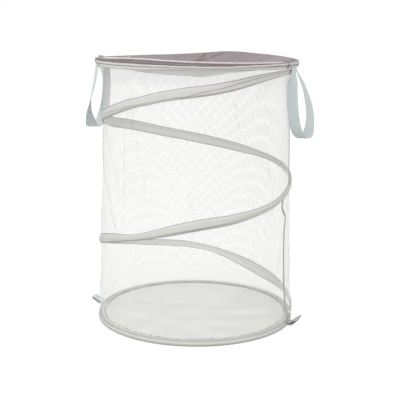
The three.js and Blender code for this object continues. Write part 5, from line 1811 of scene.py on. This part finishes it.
    def skirt(self) -> Object:
        """Builds the part of the lid that is sewn down over the back of the rim."""
        azimuths = np.linspace(*self.skirt_ends, 260)
        outline = rounded(np.array(self.skirt_section) * MM, 48)
        section = np.repeat(outline[None], len(azimuths), 0)
        lifted = smooth(outline[:, 1], 503 * MM, 510 * MM)
        section[..., 1] += (self._back_rise(azimuths) + rim_wave(azimuths))[:, None] * lifted
        pull = 0.22 * MM * ripple(azimuths, 73, 40, 90)
        swell = 0.3 * MM * ripple(azimuths, 74, 10, 30)
        section[..., 0] += pull[:, None] * (1 - lifted) + swell[:, None] * lifted
        piece = ring(azimuths, section, closed=False).build("lid_back_skirt")
        self.hand_in(piece, Slot.MAUVE, Body.RIM)
        row = (polar(azimuths, 194.25 * MM, 502.2 * MM), polar(azimuths, 1, 0))
        self.sew(
            "lid_back_stitches", [row], self.skirt_stitch, Slot.MAUVE, Body.RIM,
            self.finishes.mauve_thread, 9,
        )
        return piece

    def piping(self) -> Object:
        """Builds the covered cord along the lid's zipped edge."""
        azimuths = np.arange(ZIP_FIRST, ZIP_LAST + 0.01, 0.6)
        angle = np.linspace(0, 2 * math.pi, 14, endpoint=False)
        swell = 1 + 0.13 * ripple(azimuths, 75, 30, 90) + 0.25 * hump(azimuths, 218, 7)
        radius = self.piping_radius * swell[:, None]
        section = np.stack([
            self.piping_ring + radius * np.cos(angle),
            LID_EDGE_HEIGHT + rim_wave(azimuths)[:, None] + radius * np.sin(angle),
        ], -1)
        sheet = ring(azimuths, section, closed=False)
        # Painted shade on the piping near the zip's tucked ends.
        sheet.marks = {"crease": np.repeat(1.25 * end_shade(azimuths)[:, None], len(angle), 1)}
        piece = self.hand_in(sheet.build("lid_piping_cord"), Slot.PIPING, None, ("lid_piping",))
        self.bend_at_fold(piece)
        return piece


@dataclass
class Handle(SubAssembly):
    """One webbing handle: the loop that hangs and its two sewn ends."""

    side: str = ""  # of the hamper, seen from the front
    azimuth: float = 0.0  # of the middle between its ends
    drop: float = 0.0
    stand_off: float = 0.0  # how far its loose strand bows out
    ends: tuple = ()  # names of its first and last end
    body: Body = Body.RIGHT_LOOP
    route: tuple = ()  # shares: angle from the middle, outward bow, drop and turn of the width
    half_angle: float = 19.0
    width: float = 20 * MM
    thickness: float = 1.4 * MM
    root_radius: float = 193.25 * MM
    root_height: float = 494.85 * MM
    patch_top: float = 500.2 * MM
    hinge_length: float = 21 * MM  # of each strand that bends below its sewn end
    patch_thickness_share: float = 1.12  # of a sewn end, whose webbing is pressed out by its stitches
    stitch: Bodies = Bodies(2.6 * MM, 1.9 * MM, 0.55 * MM, 0.5 * MM)
    stitch_heights: tuple = (496.0 * MM, 499.2 * MM)

    def build(self) -> None:
        """Builds the handle's pieces."""
        line, tangent, width = self._route(221)
        run = run_of(line)
        first = int(np.searchsorted(run, self.hinge_length))
        last = int(np.searchsorted(run, run[-1] - self.hinge_length))
        loop = slice(first - 2, last + 3)
        name = "handle_loop_" + self.side
        piece = self._ribbon(name, line[loop], tangent[loop], width[loop], start=run[loop][0])
        self.hand_in(piece, Slot.WEBBING, self.body, ("handle_" + self.side,))
        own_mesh(piece)
        azimuths = (self.azimuth - self.half_angle, self.azimuth + self.half_angle)
        part = slice(0, first + 2)
        self._end(self.ends[0], line[part], tangent[part], width[part], azimuths[0])
        part = slice(None, last - 2, -1)
        self._end(self.ends[1], line[part], -tangent[part], width[part], azimuths[1])

    def _route(self, count: int) -> tuple:
        """Gives the way of the webbing from one sewn end to the other.

        Args:
            count: How many points it gets.

        Returns:
            The points, the directions and the directions of its width.
        """
        rows = np.array(self.route, float)
        controls = polar(
            self.azimuth + self.half_angle * rows[:, 0],
            self.root_radius + self.stand_off * rows[:, 1],
            self.root_height - self.drop * rows[:, 2],
        )
        places = np.linspace(0, 1, count)
        line = catmull(controls, places, True)
        tangent = np.gradient(line, axis=0)
        tangent[0], tangent[-1] = (0, 0, -1), (0, 0, 1)
        tangent = unit(tangent)
        turn = catmull(rows[:, 3:4], places, False) * math.pi / 2
        azimuth = np.degrees(np.arctan2(line[:, 1], line[:, 0]))
        width = polar(azimuth + 90, 1, 0) * np.cos(turn) + polar(azimuth, 1, 0) * np.sin(turn)
        width -= tangent * (width * tangent).sum(1, keepdims=True)
        return line, tangent, unit(width)

    def _ribbon(
        self, name: str, line: Array, tangent: Array, width: Array,
        start: float = 0.0, thick: float = 1.0,
    ) -> Object:
        """Builds a stretch of webbing with rounded selvedges.

        Args:
            name: The piece's name.
            line: Its middle line.
            tangent: Its direction at each point.
            width: The direction of its width at each point.
            start: The cloth coordinate at its first point.
            thick: Its thickness as a share of the webbing's.

        Returns:
            The piece.
        """
        across = np.cross(tangent, width)
        half, thickness = self.width / 2, self.thickness / 2 * thick
        side = np.linspace(-1, 1, 13)
        bead = 1 + 0.16 * np.exp(-(((np.abs(side) - 0.9) / 0.08) ** 2)) - 0.5 * (np.abs(side) > 0.99)
        upper = np.stack([side * half, bead * thickness], -1)
        lower = np.stack([side[::-1] * half, -bead * thickness], -1)
        selvedge = half + 0.12 * MM
        outline = np.vstack([upper, [[selvedge, 0]], lower, [[-selvedge, 0]]])
        sections = line[:, None] + width[:, None] * outline[None, :, :1]
        sections = sections + across[:, None] * outline[None, :, 1:]
        return sweep(sections, False, start).build(name, crease=60)

    def _end(self, end: str, line: Array, tangent: Array, width: Array, azimuth: float) -> None:
        """Builds a sewn end: the patch on the hem and the webbing that bends below it.

        Args:
            end: Which end of the handle it is.
            line: The middle line of the stretch, down from the hem.
            tangent: Its direction at each point.
            width: The direction of its width at each point.
            azimuth: Where the patch is on the rim.
        """
        heights = np.linspace(self.patch_top, self.root_height, 6, endpoint=False)
        above = polar(np.full(len(heights), azimuth), self.root_radius, heights)
        down = np.tile([0.0, 0.0, -1.0], (len(above), 1))
        wide = np.tile(width[0], (len(above), 1))
        name = "handle_end_" + self.side + "_" + end
        piece = self._ribbon(
            name + "_webbing", np.vstack([above, line]), np.vstack([down, tangent]),
            np.vstack([wide, width]), thick=self.patch_thickness_share,
        )
        self.hand_in(piece, Slot.WEBBING, None, (name,))
        start = polar(azimuth, self.root_radius, 495.2 * MM)
        finish = polar(azimuth, self.root_radius, float(line[-3][2]))
        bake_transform(piece)
        out = polar(azimuth, 1, 0)
        places = np.linspace(-0.42, 0.42, 15)[:, None] * self.width * polar(azimuth + 90, 1, 0)
        face = out * (self.root_radius + 0.85 * MM)
        rows = []
        for height in self.stitch_heights:
            rows.append((face + places + np.array([0, 0, height]), np.tile(out, (len(places), 1))))
        self.sew(
            name + "_stitches", rows, self.stitch, Slot.WEBBING, Body.RIM, self.finishes.grey_thread, 12,
        )


RIGHT_ROUTE = (
    (-1, 0, 0, 0), (-1, -0.02, 0.07, 0.1), (-0.99, -0.06, 0.2, 0.5), (-0.95, -0.06, 0.42, 0.72),
    (-0.86, 0, 0.67, 0.78), (-0.64, 0.12, 0.88, 0.88), (-0.28, 0.36, 0.99, 1), (0.12, 0.66, 0.985, 0.92),
    (0.42, 0.92, 0.85, 0.66), (0.64, 1, 0.66, 0.6), (0.82, 0.96, 0.5, 0.55), (0.92, 0.78, 0.33, 0.42),
    (0.97, 0.45, 0.16, 0.3), (1, 0, 0, 0),
)
LEFT_ROUTE = (
    (-1, 0, 0, 0), (-1, -0.03, 0.08, 0.12), (-1, -0.06, 0.25, 0.24), (-0.98, -0.02, 0.48, 0.28),
    (-0.9, 0.05, 0.7, 0.4), (-0.68, 0.12, 0.89, 0.7), (-0.3, 0.28, 0.985, 0.95), (0.14, 0.48, 0.965, 0.85),
    (0.46, 0.72, 0.845, 0.48), (0.66, 0.84, 0.7, 0.3), (0.84, 0.72, 0.53, 0.12), (0.95, 0.45, 0.34, 0.03),
    (0.99, 0.18, 0.16, 0), (1, 0, 0, 0),
)


@dataclass
class Studio:
    """The pale floor, the soft lamps, the world and the camera."""

    distance: float = 1.775
    eye_height: float = 0.591
    pitch: float = 11.41
    yaw: float = 0.258
    roll: float = 0.54
    focal_pixels: float = 922.0
    picture_pixels: float = 400.0
    sensor: float = 36.0
    floor_radius: float = 6.0
    floor_gap: float = 0.2 * MM  # between the hamper's underside and the floor
    floor_glow: float = 1.08  # strength of the floor's white as the camera sees it
    ambient: float = 0.78
    # Lamps: name, place, size and power in watts
    lamp_table: tuple = (
        ("key", (-1.3, -1.6, 2.1), 1.5, 29.0),
        ("fill", (1.7, -1.3, 1.5), 1.6, 9.0),
        ("back", (0.4, 1.7, 1.9), 1.6, 10.0),
        ("top", (0.0, 0.0, 2.6), 1.4, 3.0),
    )
    lamp_aim: tuple = (0, 0, 0.25)

    def build(self) -> None:
        """Sets up the camera, the floor, the lamps and the world."""
        self.camera()
        self.floor()
        self.lamps()
        self.world()

    def camera(self) -> None:
        """Places the camera as it stood for the photograph."""
        data = bpy.data.cameras.new("camera")
        data.sensor_width = self.sensor
        data.lens = self.focal_pixels / self.picture_pixels * self.sensor
        yaw, pitch, roll = self.yaw * DEGREE, self.pitch * DEGREE, self.roll * DEGREE
        level = Vector((math.cos(yaw), -math.sin(yaw), 0))
        ahead = Vector((math.sin(yaw), math.cos(yaw), 0))
        forward = ahead * math.cos(pitch) - Vector((0, 0, math.sin(pitch)))
        upright = ahead * math.sin(pitch) + Vector((0, 0, math.cos(pitch)))
        right = level * math.cos(roll) + upright * math.sin(roll)
        up = upright * math.cos(roll) - level * math.sin(roll)
        turned = Matrix((right, up, -forward)).transposed().to_4x4()
        turned.translation = Vector((0, -self.distance, self.eye_height))
        camera = show("camera", data)
        camera.matrix_world = turned
        bpy.context.scene.camera = camera

    def _seen(self, g: Graph) -> NodeSocket:
        """Gives 1 where the camera sees the studio, directly, mirrored or through something clear.

        Args:
            g: The graph that gets the nodes.

        Returns:
            The socket with that value.
        """
        path = g.add("ShaderNodeLightPath")
        seen = g.math("MAXIMUM", path.outputs["Is Camera Ray"], path.outputs["Is Glossy Ray"])
        return g.math("MAXIMUM", seen, path.outputs["Is Transmission Ray"])

    def floor(self) -> None:
        """Makes the floor, which is white where the camera sees it and has the hamper's soft shadow."""
        azimuths = all_round(64)
        rings = (0.01, 0.4, 1.2, self.floor_radius)
        rows = np.stack([polar(azimuths, radius, -self.floor_gap) for radius in rings])
        cloth = np.concatenate([rows, rows[:, :1]], 1)[..., :2]
        floor = Sheet(rows, cloth, columns_close=True).build("studio_floor")
        if floor.data.polygons[0].normal.z < 0:
            floor.data.flip_normals()
        made, g, shader = new_material("studio_white")
        made.node_tree.nodes.remove(shader)
        place = g.add("ShaderNodeTexCoord").outputs["Object"]
        far = g.add("ShaderNodeVectorMath", {0: place}, operation="LENGTH").outputs["Value"]
        share = g.math("MULTIPLY", self._seen(g), g.band(far, 0.2, 0.6, 0.85, 1.0))
        plain = g.add("ShaderNodeBsdfDiffuse", {"Color": (0.62, 0.62, 0.62, 1)})
        bright = g.add("ShaderNodeEmission", {"Color": (1, 1, 1, 1), "Strength": self.floor_glow})
        mixed = g.add("ShaderNodeMixShader", {0: share, 1: plain.outputs[0], 2: bright.outputs[0]})
        g.feed(made.node_tree.nodes["Material Output"], {"Surface": mixed.outputs[0]})
        floor.data.materials.append(made)

    def lamps(self) -> None:
        """Hangs the soft lamps and turns each to the hamper."""
        for name, place, size, power in self.lamp_table:
            data = bpy.data.lights.new(name, "AREA")
            data.size = size
            data.energy = power
            lamp = show(name, data)
            lamp.location = place
            aim = Vector(self.lamp_aim) - Vector(place)
            lamp.rotation_euler = aim.to_track_quat("-Z", "Y").to_euler()

    def world(self) -> None:
        """Makes the world: soft light all round, white where the camera sees it."""
        world = bpy.data.worlds.new("studio_light")
        world.use_nodes = True
        bpy.context.scene.world = world
        g = Graph(world.node_tree)
        strength = g.add("ShaderNodeMapRange", {0: self._seen(g), 1: 0.0, 2: 1.0, 3: self.ambient, 4: 1.0})
        background = world.node_tree.nodes["Background"]
        g.feed(background, {"Color": (1, 1, 1, 1), "Strength": strength.outputs[0]})


def main() -> None:
    """Builds the studio and every sub-assembly, in order, and reports each piece."""
    logging.basicConfig(level=logging.INFO, format="%(message)s")
    bpy.context.scene.view_settings.view_transform = "Standard"
    Studio().build()
    finishes, runs = Finishes(), RunTree()
    rim = Rim(finishes, runs)
    rim.build()
    Foot(finishes, runs).build()
    Wall(finishes, runs).build()
    Spiral(finishes, runs).build()
    Lid(finishes, runs, rim=rim).build()
    Handle(
        finishes, runs, side="right", azimuth=-5.0, drop=134 * MM, stand_off=30 * MM,
        ends=("front", "rear"), body=Body.RIGHT_LOOP, route=RIGHT_ROUTE,
    ).build()
    Handle(
        finishes, runs, side="left", azimuth=178.0, drop=121 * MM, stand_off=16 * MM,
        ends=("rear", "front"), body=Body.LEFT_LOOP, route=LEFT_ROUTE,
    ).build()


if __name__ == "__main__":
    main()
